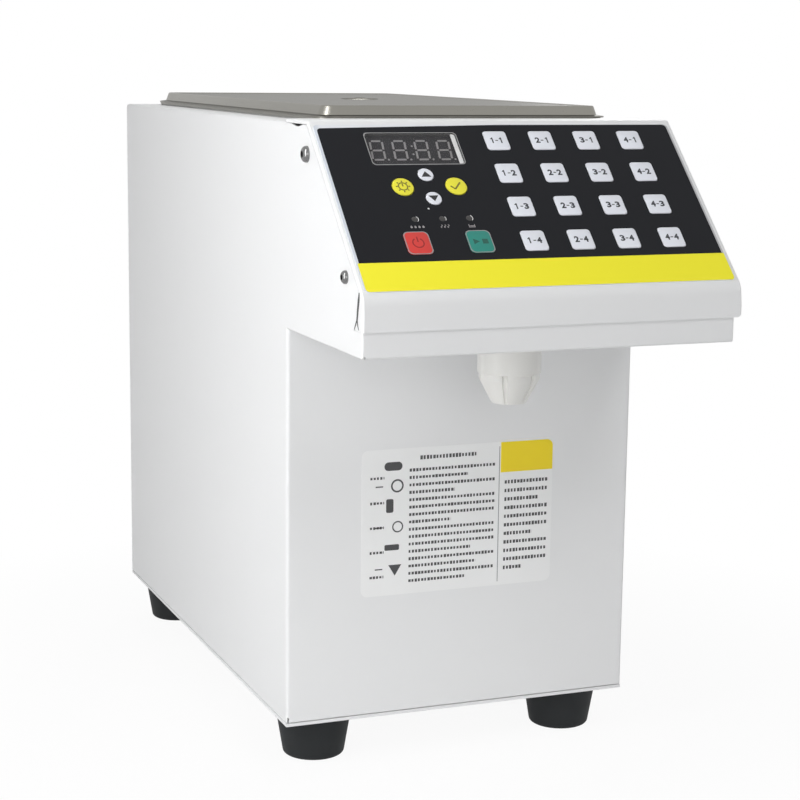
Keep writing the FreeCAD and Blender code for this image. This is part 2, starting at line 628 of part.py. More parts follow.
def key_list():
    """Every key as (name, x, s, width, height, corner radius)."""
    keys = []
    for row in range(4):
        for column in range(4):
            name = "key_%d_%d" % (column + 1, row + 1)
            keys.append((name, KEY_X0 + column * KEY_PITCH_X, KEY_S0 + row * KEY_PITCH_S,
                         KEY_SIZE, KEY_SIZE, 2.0))
    big = 2 * BIG_ROUND_R
    small = 2 * SMALL_ROUND_R
    keys.append(("key_set", PAD_X - PAD_DX, PAD_S, big, big, BIG_ROUND_R))
    keys.append(("key_save", PAD_X + PAD_DX, PAD_S, big, big, BIG_ROUND_R))
    keys.append(("key_up", PAD_X, PAD_S - PAD_DS, small, small, SMALL_ROUND_R))
    keys.append(("key_down", PAD_X, PAD_S + PAD_DS, small, small, SMALL_ROUND_R))
    keys.append(("key_power", POWER_X, COMMAND_S, COMMAND_W, COMMAND_H, 1.5))
    keys.append(("key_dispense", DISPENSE_X, COMMAND_S, COMMAND_W, COMMAND_H, 1.5))
    return keys


KEYS = key_list()


def key(x, s, width, height, radius):
    return on_slope(key_blank(x, s, width, height, radius, -KEY_DEEP, OVERLAY_T + KEY_PROUD))


def tact_switches():
    """One push switch under each key, all alike."""
    top = -KEY_DEEP - SWITCH_GAP
    made = []
    for name, x, s, width, height, radius in KEYS:
        body = panel_slab(x, s, 6, 6, 0.5, -BOARD_W, top - 0.8)
        made.append(on_slope(fuse(body, panel_disc(x, s, 1.75, top - 0.8, top))))
    return Part.makeCompound(made)


def display_window():
    """Clear pane in the overlay, over the display."""
    pane = panel_slab(DISPLAY_X, DISPLAY_S, DISPLAY_W, DISPLAY_H, 1.6, 0.05, OVERLAY_T - 0.05)
    return on_slope(pane)


def display_module():
    """Four-digit display block on the board."""
    body = panel_slab(DISPLAY_X, DISPLAY_S, 50.3, 19.0, 0.5, -BOARD_W, -DISPLAY_FACE)
    return on_slope(body)


def indicator_lamps():
    """Three indicator lamps on the board, under their openings."""
    made = []
    for x in LAMP_XS:
        bead = panel_disc(x, LAMP_S, LAMP_R, -BOARD_W, -LAMP_FACE)
        crown = [e for e in bead.Edges if e.BoundBox.ZMin > -LAMP_FACE - 0.05]
        made.append(on_slope(bead.makeFillet(1.2, crown)))
    return Part.makeCompound(made)


def control_board():
    """Circuit board held on the four studs of the cover, with its controller chip and buzzer."""
    w1 = -BOARD_W
    board = panel_slab(1.0, 55.0, 194.0, 104.0, 2.0, w1 - BOARD_T, w1)
    chip = panel_slab(40, 47, 14, 14, 0.5, w1 - BOARD_T - 1.6, w1 - BOARD_T)
    buzzer = panel_disc(BUZZER_X, BUZZER_S, 5, w1 - BOARD_T - 5, w1 - BOARD_T)
    socket = panel_slab(-20, 30, 22, 7, 0.5, w1 - BOARD_T - 7, w1 - BOARD_T)
    return on_slope(fuse(board, chip, buzzer, socket))


def label_sticker():
    """Instruction label on the front panel."""
    width = LABEL_X[1] - LABEL_X[0]
    height = LABEL_Z[1] - LABEL_Z[0]
    sheet = rounded_slab(width / 2, height / 2, 4.0, 0, LABEL_T)
    sheet.Placement = FreeCAD.Placement(V(sum(LABEL_X) / 2, FRONT_Y, sum(LABEL_Z) / 2),
                                        FreeCAD.Rotation(X_AXIS, 90))
    return sheet


# ---------------------------------------------------------------- hopper
def hopper_tank():
    """Welded steel tank with a flange, a low collar and a bottom outlet."""
    tank = rounded_slab(TANK_HX, TANK_HY, TANK_R, TANK_FLOOR, TANK_TOP, 0, TANK_Y)
    flange_y = (FLANGE_FRONT_Y + FLANGE_REAR_Y) / 2
    flange_hy = (FLANGE_REAR_Y - FLANGE_FRONT_Y) / 2
    flange = rounded_slab(FLANGE_HX, flange_hy, FLANGE_R, FLANGE_Z, FLANGE_Z + FLANGE_T, 0, flange_y)
    spigot = rod(INLET_R, V(OUTLET_X, OUTLET_Y, TANK_FLOOR - 16), Z_AXIS, 17)
    tank = fuse(tank, flange, spigot)
    tank = tank.cut(rounded_slab(TANK_HX - TANK_WALL, TANK_HY - TANK_WALL, TANK_R - TANK_WALL,
                                 TANK_FLOOR + TANK_WALL, TANK_TOP + 1, 0, TANK_Y))
    tank = tank.cut(rod(INLET_R - 1.5, V(OUTLET_X, OUTLET_Y, TANK_FLOOR - 20), Z_AXIS, 30))
    return tank.cut(rod(3.0, V(FLOAT_X, FLOAT_Y, TANK_FLOOR - 2), Z_AXIS, 5))


def hopper_gasket():
    """Flat silicone gasket between the tank's flange and the casing."""
    y = (FLANGE_FRONT_Y + FLANGE_REAR_Y) / 2
    hy = (FLANGE_REAR_Y - FLANGE_FRONT_Y) / 2
    outer = rounded_slab(FLANGE_HX - 0.5, hy - 0.5, FLANGE_R, CASE_Z1, FLANGE_Z, 0, y)
    return outer.cut(rounded_slab(TANK_HX + 1, TANK_HY + 1, TANK_R, CASE_Z1 - 1, FLANGE_Z + 1, 0, TANK_Y))


def hopper_lid():
    """Pressed lid: narrow brim, steep skirt, rolled rim, flat top, and a domed rivet."""
    skirt_z = LID_Z0 + LID_SHEET + 0.6
    sections = ((BRIM_OUT, LID_Z0), (BRIM_OUT, LID_Z0 + LID_SHEET), (SKIRT_OUT, skirt_z),
                (0.0, LID_TOP - RIM_ROLL), (-RIM_ROLL, LID_TOP))
    under = ((BRIM_OUT - 0.9, LID_Z0 - 0.2), (BRIM_OUT - 1.2, LID_Z0), (SKIRT_OUT - 1.0, skirt_z - 0.3),
             (-1.0, LID_TOP - LID_SINK - LID_SHEET))
    outer, hollow = [lid_loft(rings) for rings in (sections, under)]
    pocket = rounded_slab(LID_HX - RIM_W, LID_HY - RIM_W, LID_R - RIM_W, LID_TOP - LID_SINK, LID_TOP + 1,
                          0, TANK_Y)
    lid = outer.cut(hollow).cut(pocket)
    lid = lid.cut(rod(2.5, V(0, TANK_Y, LID_TOP - 10), Z_AXIS, 12))
    return Part.makeCompound([lid, lid_rivet()])


def lid_loft(rings):
    """Solid through level rounded rectangles, each given by its offset from the rim and its height."""
    wires = [rounded_wire(LID_HX + out, LID_HY + out, LID_R + out, z, 0, TANK_Y) for out, z in rings]
    return Part.makeLoft(wires, True, True)


def lid_rivet():
    """Low domed rivet that closes the hole in the middle of the lid."""
    face = V(0, TANK_Y, LID_TOP - LID_SINK)
    dome = rod(5.2, face, Z_AXIS, 1.2)
    dome = dome.makeFillet(1.1, [e for e in dome.Edges if e.BoundBox.ZMin > face.z + 1.1])
    shank = rod(2.4, face - V(0, 0, LID_SHEET), Z_AXIS, LID_SHEET + 0.5)
    washer = rod(4.0, face - V(0, 0, LID_SHEET + 0.8), Z_AXIS, 0.8)
    return fuse(dome, shank, washer)


def level_stem():
    """Stem of the level switch, screwed through the tank's floor, with its two stop collars."""
    floor = TANK_FLOOR + TANK_WALL
    stop_z = floor + FLOAT_REST + FLOAT_H + FLOAT_TRAVEL + 0.5
    stem = rod(STEM_R, V(FLOAT_X, FLOAT_Y, floor), Z_AXIS, STEM_H)
    thread = rod(2.9, V(FLOAT_X, FLOAT_Y, floor - 8), Z_AXIS, 9)
    nut = rod(6, V(FLOAT_X, FLOAT_Y, TANK_FLOOR - 5), Z_AXIS, 5)
    seat = rod(7, V(FLOAT_X, FLOAT_Y, floor), Z_AXIS, FLOAT_REST)
    stop = rod(6, V(FLOAT_X, FLOAT_Y, stop_z), Z_AXIS, 3)
    return fuse(stem, thread, nut, seat, stop)


def level_float():
    """Hollow ring float that slides on the stem."""
    base = V(FLOAT_X, FLOAT_Y, TANK_FLOOR + TANK_WALL + FLOAT_REST)
    ring = rod(FLOAT_R, base, Z_AXIS, FLOAT_H)
    return ring.cut(rod(STEM_R + 0.4, base - V(0, 0, 1), Z_AXIS, FLOAT_H + 2))


def heater_pad():
    """Silicone heating mat under the tank's floor, and the thermostat that is clipped on it."""
    mat = box(-48, 36, TANK_Y - 60, TANK_Y + 100, TANK_FLOOR - 2, TANK_FLOOR)
    thermostat = rod(8, V(0, TANK_Y + 20, TANK_FLOOR - 9), Z_AXIS, 7)
    return Part.makeCompound([mat, thermostat])


# ---------------------------------------------------------------- pump
def gear(centre_z, phase):
    """Straight-cut pump gear with slim teeth, on an axis along y."""
    points = []
    pitch = 360.0 / GEAR_TEETH
    tooth = ((-9.5, GEAR_ROOT_R), (-3.0, GEAR_TIP_R), (3.0, GEAR_TIP_R), (9.5, GEAR_ROOT_R))
    for i in range(GEAR_TEETH):
        for offset, radius in tooth:
            a = math.radians(i * pitch + phase + offset)
            points.append(V(radius * math.sin(a), GEAR_Y, centre_z + radius * math.cos(a)))
    wire = Part.makePolygon(points + [points[0]])
    return Part.Face(wire).extrude(V(0, GEAR_W, 0))


def drive_gear():
    """Driving gear on the motor's shaft."""
    return fuse(gear(DRIVE_Z, 0), rod(SHAFT_R, V(0, GEAR_Y, DRIVE_Z), Y_AXIS, 44))


def idler_gear():
    """Driven gear with its own short pin."""
    return fuse(gear(IDLER_Z, 180.0 / GEAR_TEETH), rod(PIN_R, V(0, GEAR_Y, IDLER_Z), Y_AXIS, 16))


def pump_body():
    """Pump body with the figure-of-eight gear chamber, shaft bores and two hose spigots."""
    body = box(-PUMP_HX, PUMP_HX, PUMP_Y, PUMP_BACK_Y, PUMP_Z - PUMP_HZ, PUMP_Z + PUMP_HZ)
    inlet = rod(INLET_R, V(-PUMP_HX - 16, PORT_Y, PUMP_Z), X_AXIS, 17)
    outlet = rod(PORT_R, V(PUMP_HX - 1, PORT_Y, PUMP_Z), X_AXIS, 17)
    body = fuse(body, inlet, outlet)
    for z, bore, depth in ((DRIVE_Z, SHAFT_R, 30), (IDLER_Z, PIN_R, 17)):
        body = body.cut(rod(GEAR_BORE_R, V(0, PUMP_Y - 1, z), Y_AXIS, CHAMBER_D + 1))
        body = body.cut(rod(bore + RUNNING_FIT, V(0, PUMP_Y, z), Y_AXIS, depth))
    body = body.cut(rod(INLET_R - 1.5, V(-40, PORT_Y, PUMP_Z), X_AXIS, 32))
    return body.cut(rod(PORT_BORE_R, V(8, PORT_Y, PUMP_Z), X_AXIS, 32))


def pump_cover():
    """Front plate that closes the gear chamber."""
    return box(-PUMP_HX, PUMP_HX, PUMP_Y - 6, PUMP_Y, PUMP_Z - PUMP_HZ, PUMP_Z + PUMP_HZ)


def pump_bracket():
    """Angle bracket: the pump is bolted to its front, the motor to its back."""
    y = PUMP_BACK_Y
    upright = box(-32, 32, y, y + BRACKET_T, CASE_Z0, PUMP_Z + PUMP_HZ)
    foot = box(-32, 32, y, y + 45, CASE_Z0, CASE_Z0 + BRACKET_T)
    return fuse(upright, foot).cut(rod(SHAFT_R + 2, V(0, y - 1, DRIVE_Z), Y_AXIS, 6))


def gear_motor():
    """Geared direct-current motor; its nose takes the shaft of the driving gear."""
    y = PUMP_BACK_Y + BRACKET_T
    gearbox = rod(MOTOR_R, V(0, y, DRIVE_Z), Y_AXIS, GEARBOX_L)
    can = rod(MOTOR_R - 4, V(0, y + GEARBOX_L, DRIVE_Z), Y_AXIS, MOTOR_L - GEARBOX_L)
    boss = rod(9, V(0, y + MOTOR_L, DRIVE_Z), Y_AXIS, 6)
    bore = rod(SHAFT_R + RUNNING_FIT, V(0, y - 1, DRIVE_Z), Y_AXIS, 24)
    return fuse(gearbox, can, boss).cut(bore)


def suction_hose():
    """Silicone hose from the tank's outlet to the pump."""
    points = [V(OUTLET_X, PORT_Y, TANK_FLOOR - 2), V(OUTLET_X, PORT_Y, PUMP_Z),
              V(-PUMP_HX - 1, PORT_Y, PUMP_Z)]
    return hose(points, HOSE_BEND, INLET_R)


def delivery_hose():
    """Silicone hose from the pump up past the tank to the nozzle seat."""
    points = [V(PUMP_HX + 1, PORT_Y, PUMP_Z), V(HOSE_X, PORT_Y, PUMP_Z), V(HOSE_X, PORT_Y, HOSE_LEVEL),
              V(HOSE_X, NOZZLE_Y, HOSE_LEVEL), V(0, NOZZLE_Y, HOSE_LEVEL), V(0, NOZZLE_Y, HEAD_Z0 + 6)]
    return hose(points, HOSE_BEND, PORT_R)


# ---------------------------------------------------------------- nozzle
def nozzle_seat():
    """Moulded seat: flange in the head, threaded neck below, hose barb above, conical valve seat."""
    top = HEAD_Z0 + SHEET
    profile = [(PORT_BORE_R, top + 20), (PORT_R, top + 20), (PORT_R, top + 4), (22, top + 4), (22, top),
               (NECK_R, top), (NECK_R, NECK_Z0), (CONE_BASE_R, NECK_Z0), (CONE_TOP_R, CONE_TOP_Z),
               (CONE_TOP_R, top + 2), (PORT_BORE_R, top + 4)]
    return turned(profile, NOZZLE_AT)


def nozzle_cap():
    """Screw cap: a straight grip above, a tapered spout below, and six fins flush with the grip."""
    bore = NECK_R + THREAD_GAP
    waist = NOZZLE_R - FIN_STEP
    wall = [(NOZZLE_R, NOZZLE_Z1), (NOZZLE_R, FIN_TOP_Z), (waist, FIN_TOP_Z - FIN_STEP / 2),
            (waist, TAPER_Z), (SPOUT_R + 0.4, NOZZLE_Z0 + 1.0), (SPOUT_R - 0.6, NOZZLE_Z0),
            (4.5, NOZZLE_Z0), (4.5, CAP_FLOOR), (7.5, CAP_FLOOR), (11.5, CAP_FLOOR + 11),
            (11.5, CAP_STEP_Z), (bore, CAP_STEP_Z), (bore, NOZZLE_Z1)]
    crest = NOZZLE_R - 0.05
    root = NOZZLE_R - 2.5
    fin_outline = [(root, FIN_TOP_Z + 0.2), (crest, FIN_TOP_Z + 0.2), (crest, TAPER_Z),
                   (SPOUT_R + 1.3, NOZZLE_Z0 + 0.8), (SPOUT_R - 1, NOZZLE_Z0 + 0.8), (root, TAPER_Z)]
    fins = []
    for i in range(6):
        wire = Part.makePolygon([V(r, NOZZLE_Y - FIN_T / 2, z) for r, z in fin_outline + [fin_outline[0]]])
        fin = Part.Face(wire).extrude(V(0, FIN_T, 0))
        fin.rotate(NOZZLE_AT, Z_AXIS, FIN_PHASE + 60 * i)
        fins.append(fin)
    return fuse(turned(wall, NOZZLE_AT), *fins)


def nozzle_o_ring():
    """Seal between the neck and the step inside the cap."""
    return Part.makeTorus(12.9, 1.2, V(0, NOZZLE_Y, CAP_STEP_Z + 1.3))


def valve_plug():
    """Plug that the spring holds against the conical seat, with a guide stem each way."""
    top = NECK_Z0 + 8.0
    shoulder = NECK_Z0 - PLUG_SKIRT
    profile = [(0, NECK_Z0 - 12), (3.2, NECK_Z0 - 12), (3.2, shoulder), (CONE_BASE_R - 0.35, shoulder),
               (CONE_BASE_R - 0.35, NECK_Z0), (CONE_TOP_R + 0.45, top), (3.5, top), (3.5, top + 5),
               (0, top + 5)]
    return turned(profile, NOZZLE_AT)


def valve_spring():
    """Compression spring between the cap's floor and the plug."""
    z0 = CAP_FLOOR + SPRING_SEAT
    z1 = NECK_Z0 - PLUG_SKIRT - SPRING_SEAT
    helix = Part.makeHelix((z1 - z0) / SPRING_TURNS, z1 - z0, SPRING_R)
    helix.translate(V(0, NOZZLE_Y, z0))
    ring = Part.Wire(Part.makeCircle(SPRING_WIRE_R, V(SPRING_R, NOZZLE_Y, z0), Y_AXIS))
    return Part.Wire(helix).makePipeShell([ring], True, True)


# ---------------------------------------------------------------- power
def power_supply():
    """Ventilated supply box on the base plate."""
    front, back, top = FRONT_Y + 190, FRONT_Y + 320, CASE_Z0 + 40
    body = box(-50, 50, front, back, CASE_Z0, top)
    slots = [box(x, x + 6, front + 20, back - 20, top - 2, top + 1) for x in range(-40, 40, 12)]
    return body.cut(slots)


def mains_inlet():
    """Three-pin appliance inlet with its flange behind the rear panel and three flat pins."""
    shell = box(INLET_X - 13.8, INLET_X + 13.8, REAR_Y - 26, REAR_Y + 1, INLET_Z - 10.3, INLET_Z + 10.3)
    flange = rounded_slab(25, 12.5, 3, 0, REAR_FIT)
    flange.Placement = FreeCAD.Placement(V(INLET_X, REAR_Y + REAR_FIT, INLET_Z),
                                         FreeCAD.Rotation(X_AXIS, 90))
    inlet = fuse(shell, flange)
    recess = box(INLET_X - 12, INLET_X + 12, REAR_Y - 15, REAR_Y + 5, INLET_Z - 8, INLET_Z + 8)
    corners = [e for e in recess.Edges if e.BoundBox.YLength > 5 and e.BoundBox.ZMin > INLET_Z]
    inlet = inlet.cut(recess.makeChamfer(4, corners))
    pins = []
    for across, up in ((-7, -1), (0, 2.5), (7, -1)):
        x, z = INLET_X + across, INLET_Z + up
        pins.append(box(x - 1, x + 1, REAR_Y - 15.5, REAR_Y - 1, z - 2, z + 2))
    return fuse(inlet, *pins)


def switch_frame():
    """Frame of the rocker switch, snapped into the rear panel."""
    collar = rounded_slab(11, 15.5, 1.5, 0, 2.0)
    collar.Placement = FreeCAD.Placement(V(SWITCH_X, REAR_Y + 2.0, INLET_Z), FreeCAD.Rotation(X_AXIS, 90))
    body = box(SWITCH_X - 9, SWITCH_X + 9, REAR_Y - 20, REAR_Y + 1, INLET_Z - 13.4, INLET_Z + 13.4)
    well = box(SWITCH_X - 7.5, SWITCH_X + 7.5, REAR_Y - 13, REAR_Y + 4, INLET_Z - 12, INLET_Z + 12)
    pin_hole = rod(ROCKER_PIN_R + RUNNING_FIT, V(SWITCH_X - 8.7, ROCKER_Y, INLET_Z), X_AXIS, 17.4)
    return fuse(collar, body).cut(well).cut(pin_hole)


def switch_rocker():
    """Rocker with two faces at a wide angle, drawn tipped to its off side, on two short pins."""
    y = ROCKER_Y
    z = INLET_Z
    outline = [(y - 4, z - 4), (y - 4, z + 4), (y - 1, z + 10.4), (y + 5.4, z + 10.9), (y + 4.2, z),
               (y + 5.4, z - 10.9), (y - 1, z - 10.4)]
    rocker = side_prism(outline, SWITCH_X - 7.2, SWITCH_X + 7.2)
    rocker.rotate(V(SWITCH_X, y, z), X_AXIS, ROCKER_TILT)
    return fuse(rocker, rod(ROCKER_PIN_R, V(SWITCH_X - 8.6, y, z), X_AXIS, 17.2))


# ---------------------------------------------------------------- build
def all_parts():
    parts = {
        "outer_shell": outer_shell, "rear_panel": rear_panel, "base_plate": base_plate, "feet": feet,
        "head_housing": head_housing, "control_cover": control_cover, "keypad_overlay": keypad_overlay,
        "display_window": display_window, "display_module": display_module,
        "indicator_lamps": indicator_lamps, "tact_switches": tact_switches, "control_board": control_board,
        "cover_screws": cover_screws, "body_screws": body_screws, "label_sticker": label_sticker,
        "hopper_tank": hopper_tank, "hopper_gasket": hopper_gasket, "hopper_lid": hopper_lid,
        "level_stem": level_stem, "level_float": level_float, "heater_pad": heater_pad,
        "pump_body": pump_body, "pump_cover": pump_cover, "pump_bracket": pump_bracket,
        "drive_gear": drive_gear, "idler_gear": idler_gear, "gear_motor": gear_motor,
        "suction_hose": suction_hose, "delivery_hose": delivery_hose,
        "nozzle_seat": nozzle_seat, "nozzle_cap": nozzle_cap, "nozzle_o_ring": nozzle_o_ring,
        "valve_plug": valve_plug, "valve_spring": valve_spring,
        "power_supply": power_supply, "mains_inlet": mains_inlet,
        "switch_frame": switch_frame, "switch_rocker": switch_rocker,
    }
    made = {name: build() for name, build in parts.items()}
    for name, x, s, width, height, radius in KEYS:
        made[name] = key(x, s, width, height, radius)
    return made


def main():
    os.makedirs("parts", exist_ok=True)
    made = all_parts()
    whole = FreeCAD.BoundBox()
    for name, shape in made.items():
        solids = len(shape.Solids)
        print("%-18s solids %2d valid %s volume %.0f" % (name, solids, shape.isValid(), shape.Volume))
        whole.add(shape.BoundBox)
        shape.exportStep("parts/%s.step" % name)
    print(len(made), "nodes, box", whole)


main()
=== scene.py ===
# %% [markdown]
# # A countertop fructose dispenser
# The machine pours a set portion of syrup: a white sheet-steel casing, a steel hopper with a lid,
# and a head that reaches forward with a sloping keypad and a screw-on nozzle.  Its construction
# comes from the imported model, piece by piece and in real sizes.  This lesson dresses it: every
# piece gets a finish made of shader nodes, and pieces whose looks need softer edges than a
# construction model has are modelled again here, in exactly the same place.

# %% Load the frame
import json
import math
import random

import bmesh
import bpy
from mathutils import Matrix, Vector


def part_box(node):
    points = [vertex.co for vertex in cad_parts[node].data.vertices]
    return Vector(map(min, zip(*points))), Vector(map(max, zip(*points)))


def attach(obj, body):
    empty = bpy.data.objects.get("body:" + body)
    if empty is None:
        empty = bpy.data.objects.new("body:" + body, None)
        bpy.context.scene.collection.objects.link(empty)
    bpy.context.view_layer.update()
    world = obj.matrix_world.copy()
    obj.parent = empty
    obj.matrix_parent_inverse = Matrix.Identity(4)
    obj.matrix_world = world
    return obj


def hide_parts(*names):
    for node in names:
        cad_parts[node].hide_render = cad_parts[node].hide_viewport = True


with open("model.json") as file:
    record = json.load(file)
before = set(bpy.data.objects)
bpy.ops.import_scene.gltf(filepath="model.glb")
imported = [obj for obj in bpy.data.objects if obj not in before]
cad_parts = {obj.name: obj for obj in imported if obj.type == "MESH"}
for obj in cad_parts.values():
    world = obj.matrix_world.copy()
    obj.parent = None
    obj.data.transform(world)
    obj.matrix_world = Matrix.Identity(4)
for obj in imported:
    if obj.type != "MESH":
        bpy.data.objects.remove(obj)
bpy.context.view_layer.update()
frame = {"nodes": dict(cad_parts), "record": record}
nodes = frame["nodes"]
MM = 0.001

# %% [markdown]
# ## Where things are
# The casing is 215 mm wide.  The control panel slopes at 45.5 degrees from upright, so its print is
# easiest to place in the panel's own millimetres: `x` across, `s` down the slope from its top edge,
# and `w` outwards from the painted cover.  One matrix turns those into places in the scene, and
# another does the same for the front panel: `x` across, up from the casing's lower edge, outwards.

# %% Measures that everything hangs on
FRONT_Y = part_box("outer_shell")[0].y
CASE_Z0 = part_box("outer_shell")[0].z
CASE_Z1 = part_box("outer_shell")[1].z
SLOPE_AHEAD, SLOPE_ABOVE = 34, 0.1      # top edge of the slope from the casing's, in mm
SLOPE_TOP = Vector((0, FRONT_Y - SLOPE_AHEAD * MM, CASE_Z1 + SLOPE_ABOVE * MM))
SLOPE = math.radians(45.5)
FILM_T = 0.5               # printed overlay, in mm outwards from the cover
IN_MM = Matrix.Scale(MM, 4)
PANEL = Matrix.Translation(SLOPE_TOP) @ Matrix.Rotation(math.pi / 2 - SLOPE, 4, "X") @ IN_MM
FRONT = Matrix.Translation((0, FRONT_Y, CASE_Z0)) @ Matrix.Rotation(math.pi / 2, 4, "X") @ IN_MM


def panel_spot(node):
    """Middle of a node on the control panel: x across and s down the slope, in mm."""
    low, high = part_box(node)
    spot = PANEL.inverted() @ ((low + high) / 2)
    return spot.x, -spot.y


print("slope starts at", [round(v, 4) for v in SLOPE_TOP], "first key", panel_spot("key_1_1"))

# %% [markdown]
# ## The camera
# The camera looks from the left and a little above, through a short telephoto lens so that
# upright edges stay nearly parallel.  Its axes are built from three angles: how far it stands to
# the left, how far above, and a small roll.  Its picture is shifted by a pixel or two.

# %% Camera
CAMERA_AT = Vector((-0.4447, -1.1324, 0.4055))
CAMERA_TURN, CAMERA_LIFT, CAMERA_ROLL = (math.radians(a) for a in (-21.774, 10.006, 0.698))
LENS = 87.7
SENSOR_W = 36
PICTURE_W = 800            # pixels
SHIFT_PIXELS = (2.2, 0.2)  # right, up


def camera_axes(turn, lift, roll):
    """Camera matrix columns from its turn about the object, its lift and its roll."""
    back = Vector((math.sin(turn) * math.cos(lift), -math.cos(turn) * math.cos(lift), math.sin(lift)))
    right = Vector((0, 0, 1)).cross(back).normalized()
    up = back.cross(right)
    rolled_right = math.cos(roll) * right + math.sin(roll) * up
    rolled_up = -math.sin(roll) * right + math.cos(roll) * up
    return Matrix((rolled_right, rolled_up, back)).transposed()


def add_object(name, data):
    """Object in the scene for a mesh, a camera or a lamp."""
    new = bpy.data.objects.new(name, data)
    scene.collection.objects.link(new)
    return new


scene = bpy.context.scene
camera = add_object("camera", bpy.data.cameras.new("camera"))
camera.matrix_world = Matrix.Translation(CAMERA_AT) @ camera_axes(
    CAMERA_TURN, CAMERA_LIFT, CAMERA_ROLL).to_4x4()
camera.data.lens = LENS
camera.data.sensor_width = SENSOR_W
camera.data.clip_start = 0.05
camera.data.shift_x, camera.data.shift_y = (pixels / PICTURE_W for pixels in SHIFT_PIXELS)
scene.camera = camera
scene.view_settings.view_transform = "Standard"
print("camera at", [round(v, 3) for v in CAMERA_AT])

# %% [markdown]
# ## Node materials in a few words
# Every finish below is a Principled shader with something done to its colour, its roughness or
# its bump.  Small helpers keep the node work readable: some fill a node's inputs, by a link or with
# a plain value, one makes noise on object coordinates, and one turns any grey value into bump.

# %% Helpers for materials
COLOUR_INPUTS = (0, 6, 7)   # of a Mix node set to colours: factor, first, second
COLOUR_OUTPUT = 2


def fill(tree, socket, value):
    """Link an input to another node's output, or give it a number, a vector or a colour."""
    if isinstance(value, bpy.types.NodeSocket):
        tree.links.new(value, socket)
    else:
        socket.default_value = (*value, 1) if socket.type == "RGBA" else value


def feed(tree, node, **inputs):
    """Fill a node's inputs by name; a name that is no input is a setting."""
    for name, value in inputs.items():
        socket = node.inputs.get(name.replace("_", " "))
        if socket is None:
            setattr(node, name, value)
        else:
            fill(tree, socket, value)
    return node


def add_node(tree, kind, **inputs):
    return feed(tree, tree.nodes.new("ShaderNode" + kind), **inputs)


def calculate(tree, operation, *values, kind="Math"):
    """Result of one operation on outputs or plain values; of kind VectorMath, it is on vectors."""
    node = add_node(tree, kind, operation=operation)
    for socket, value in zip(node.inputs, values):
        fill(tree, socket, value)
    return node.outputs["Value" if kind == "Math" or operation == "LENGTH" else "Vector"]


def new_finish(name, colour, roughness, metallic=0.0, **inputs):
    """Material with a Principled shader; returns (material, tree, shader)."""
    material = bpy.data.materials.new(name)
    material.use_nodes = True
    material.diffuse_color = (*colour, 1)
    tree = material.node_tree
    shader = feed(tree, tree.nodes["Principled BSDF"], Base_Color=colour, Roughness=roughness,
                  Metallic=metallic, **inputs)
    return material, tree, shader


def object_noise(tree, scale, detail=2.0, stretch=(1, 1, 1)):
    """Noise over object coordinates; stretch squeezes it along an axis, as brushing does."""
    place = add_node(tree, "TexCoord")
    mapping = add_node(tree, "Mapping", Vector=place.outputs["Object"], Scale=stretch)
    noise = add_node(tree, "TexNoise", Vector=mapping.outputs["Vector"], Scale=scale, Detail=detail)
    return noise.outputs["Fac"]


def between(tree, value, low, high):
    """Spread a 0-1 value over the range from low to high."""
    return add_node(tree, "MapRange", Value=value, To_Min=low, To_Max=high).outputs["Result"]


def mix_colours(tree, value, first, second):
    """Colour that goes from first to second with a grey value; either may be an output."""
    mix = add_node(tree, "Mix", data_type="RGBA")
    for i, source in zip(COLOUR_INPUTS, (value, first, second)):
        fill(tree, mix.inputs[i], source)
    return mix.outputs[COLOUR_OUTPUT]


def add_bump(tree, shader, value, height, strength=1.0):
    """Bump of a real height in metres."""
    bump = add_node(tree, "Bump", Height=value, Strength=strength, Distance=height)
    feed(tree, shader, Normal=bump.outputs["Normal"])


print("material helpers ready")

# %% [markdown]
# ## White enamel
# The casing is powder coated: a slightly cool white with a faint orange-peel skin, and a little
# unevenness in its gloss.  Noise a few millimetres wide makes the peel, and a slower noise makes
# the gloss and the whiteness wander by a few percent, which keeps large flat panels alive.

# %% White enamel


def white_enamel():
    material, tree, shader = new_finish("white_enamel", (0.80, 0.806, 0.812), 0.4)
    slow = object_noise(tree, 9, 3)
    feed(tree, shader, Base_Color=mix_colours(tree, slow, (0.785, 0.791, 0.798), (0.812, 0.817, 0.822)),
         Roughness=between(tree, slow, 0.34, 0.46))
    add_bump(tree, shader, object_noise(tree, 420, 2), 0.02 * MM, 0.35)
    return material


enamel = white_enamel()
print("made", enamel.name)

# %% [markdown]
# ## Steel
# The hopper is brushed stainless steel.  Brushing leaves fine scratches along the sheet, so the
# noise is squeezed hard along one axis.  It drives both the roughness and a very small bump,
# and a slow noise dulls the sheet in patches, as wiping does.  Smaller steel parts share the same
# recipe with another colour and grain.  Worn sheet is duller at a glancing view than the ideal
# metal, which the shader's tint for such views takes care of.  Faces that lie flat keep still less
# at a glancing view: a painted shade that darkens the lid's top, as mirrored dark surroundings would.

# %% Steel
FACES_UP = 0.95             # how upright the normal of a face that lies flat is


def lies_flat(tree):
    """1 on faces that lie flat, 0 elsewhere."""
    geometry = add_node(tree, "NewGeometry")
    parts = add_node(tree, "SeparateXYZ", Vector=geometry.outputs["Normal"])
    return calculate(tree, "GREATER_THAN", parts.outputs["Z"], FACES_UP)


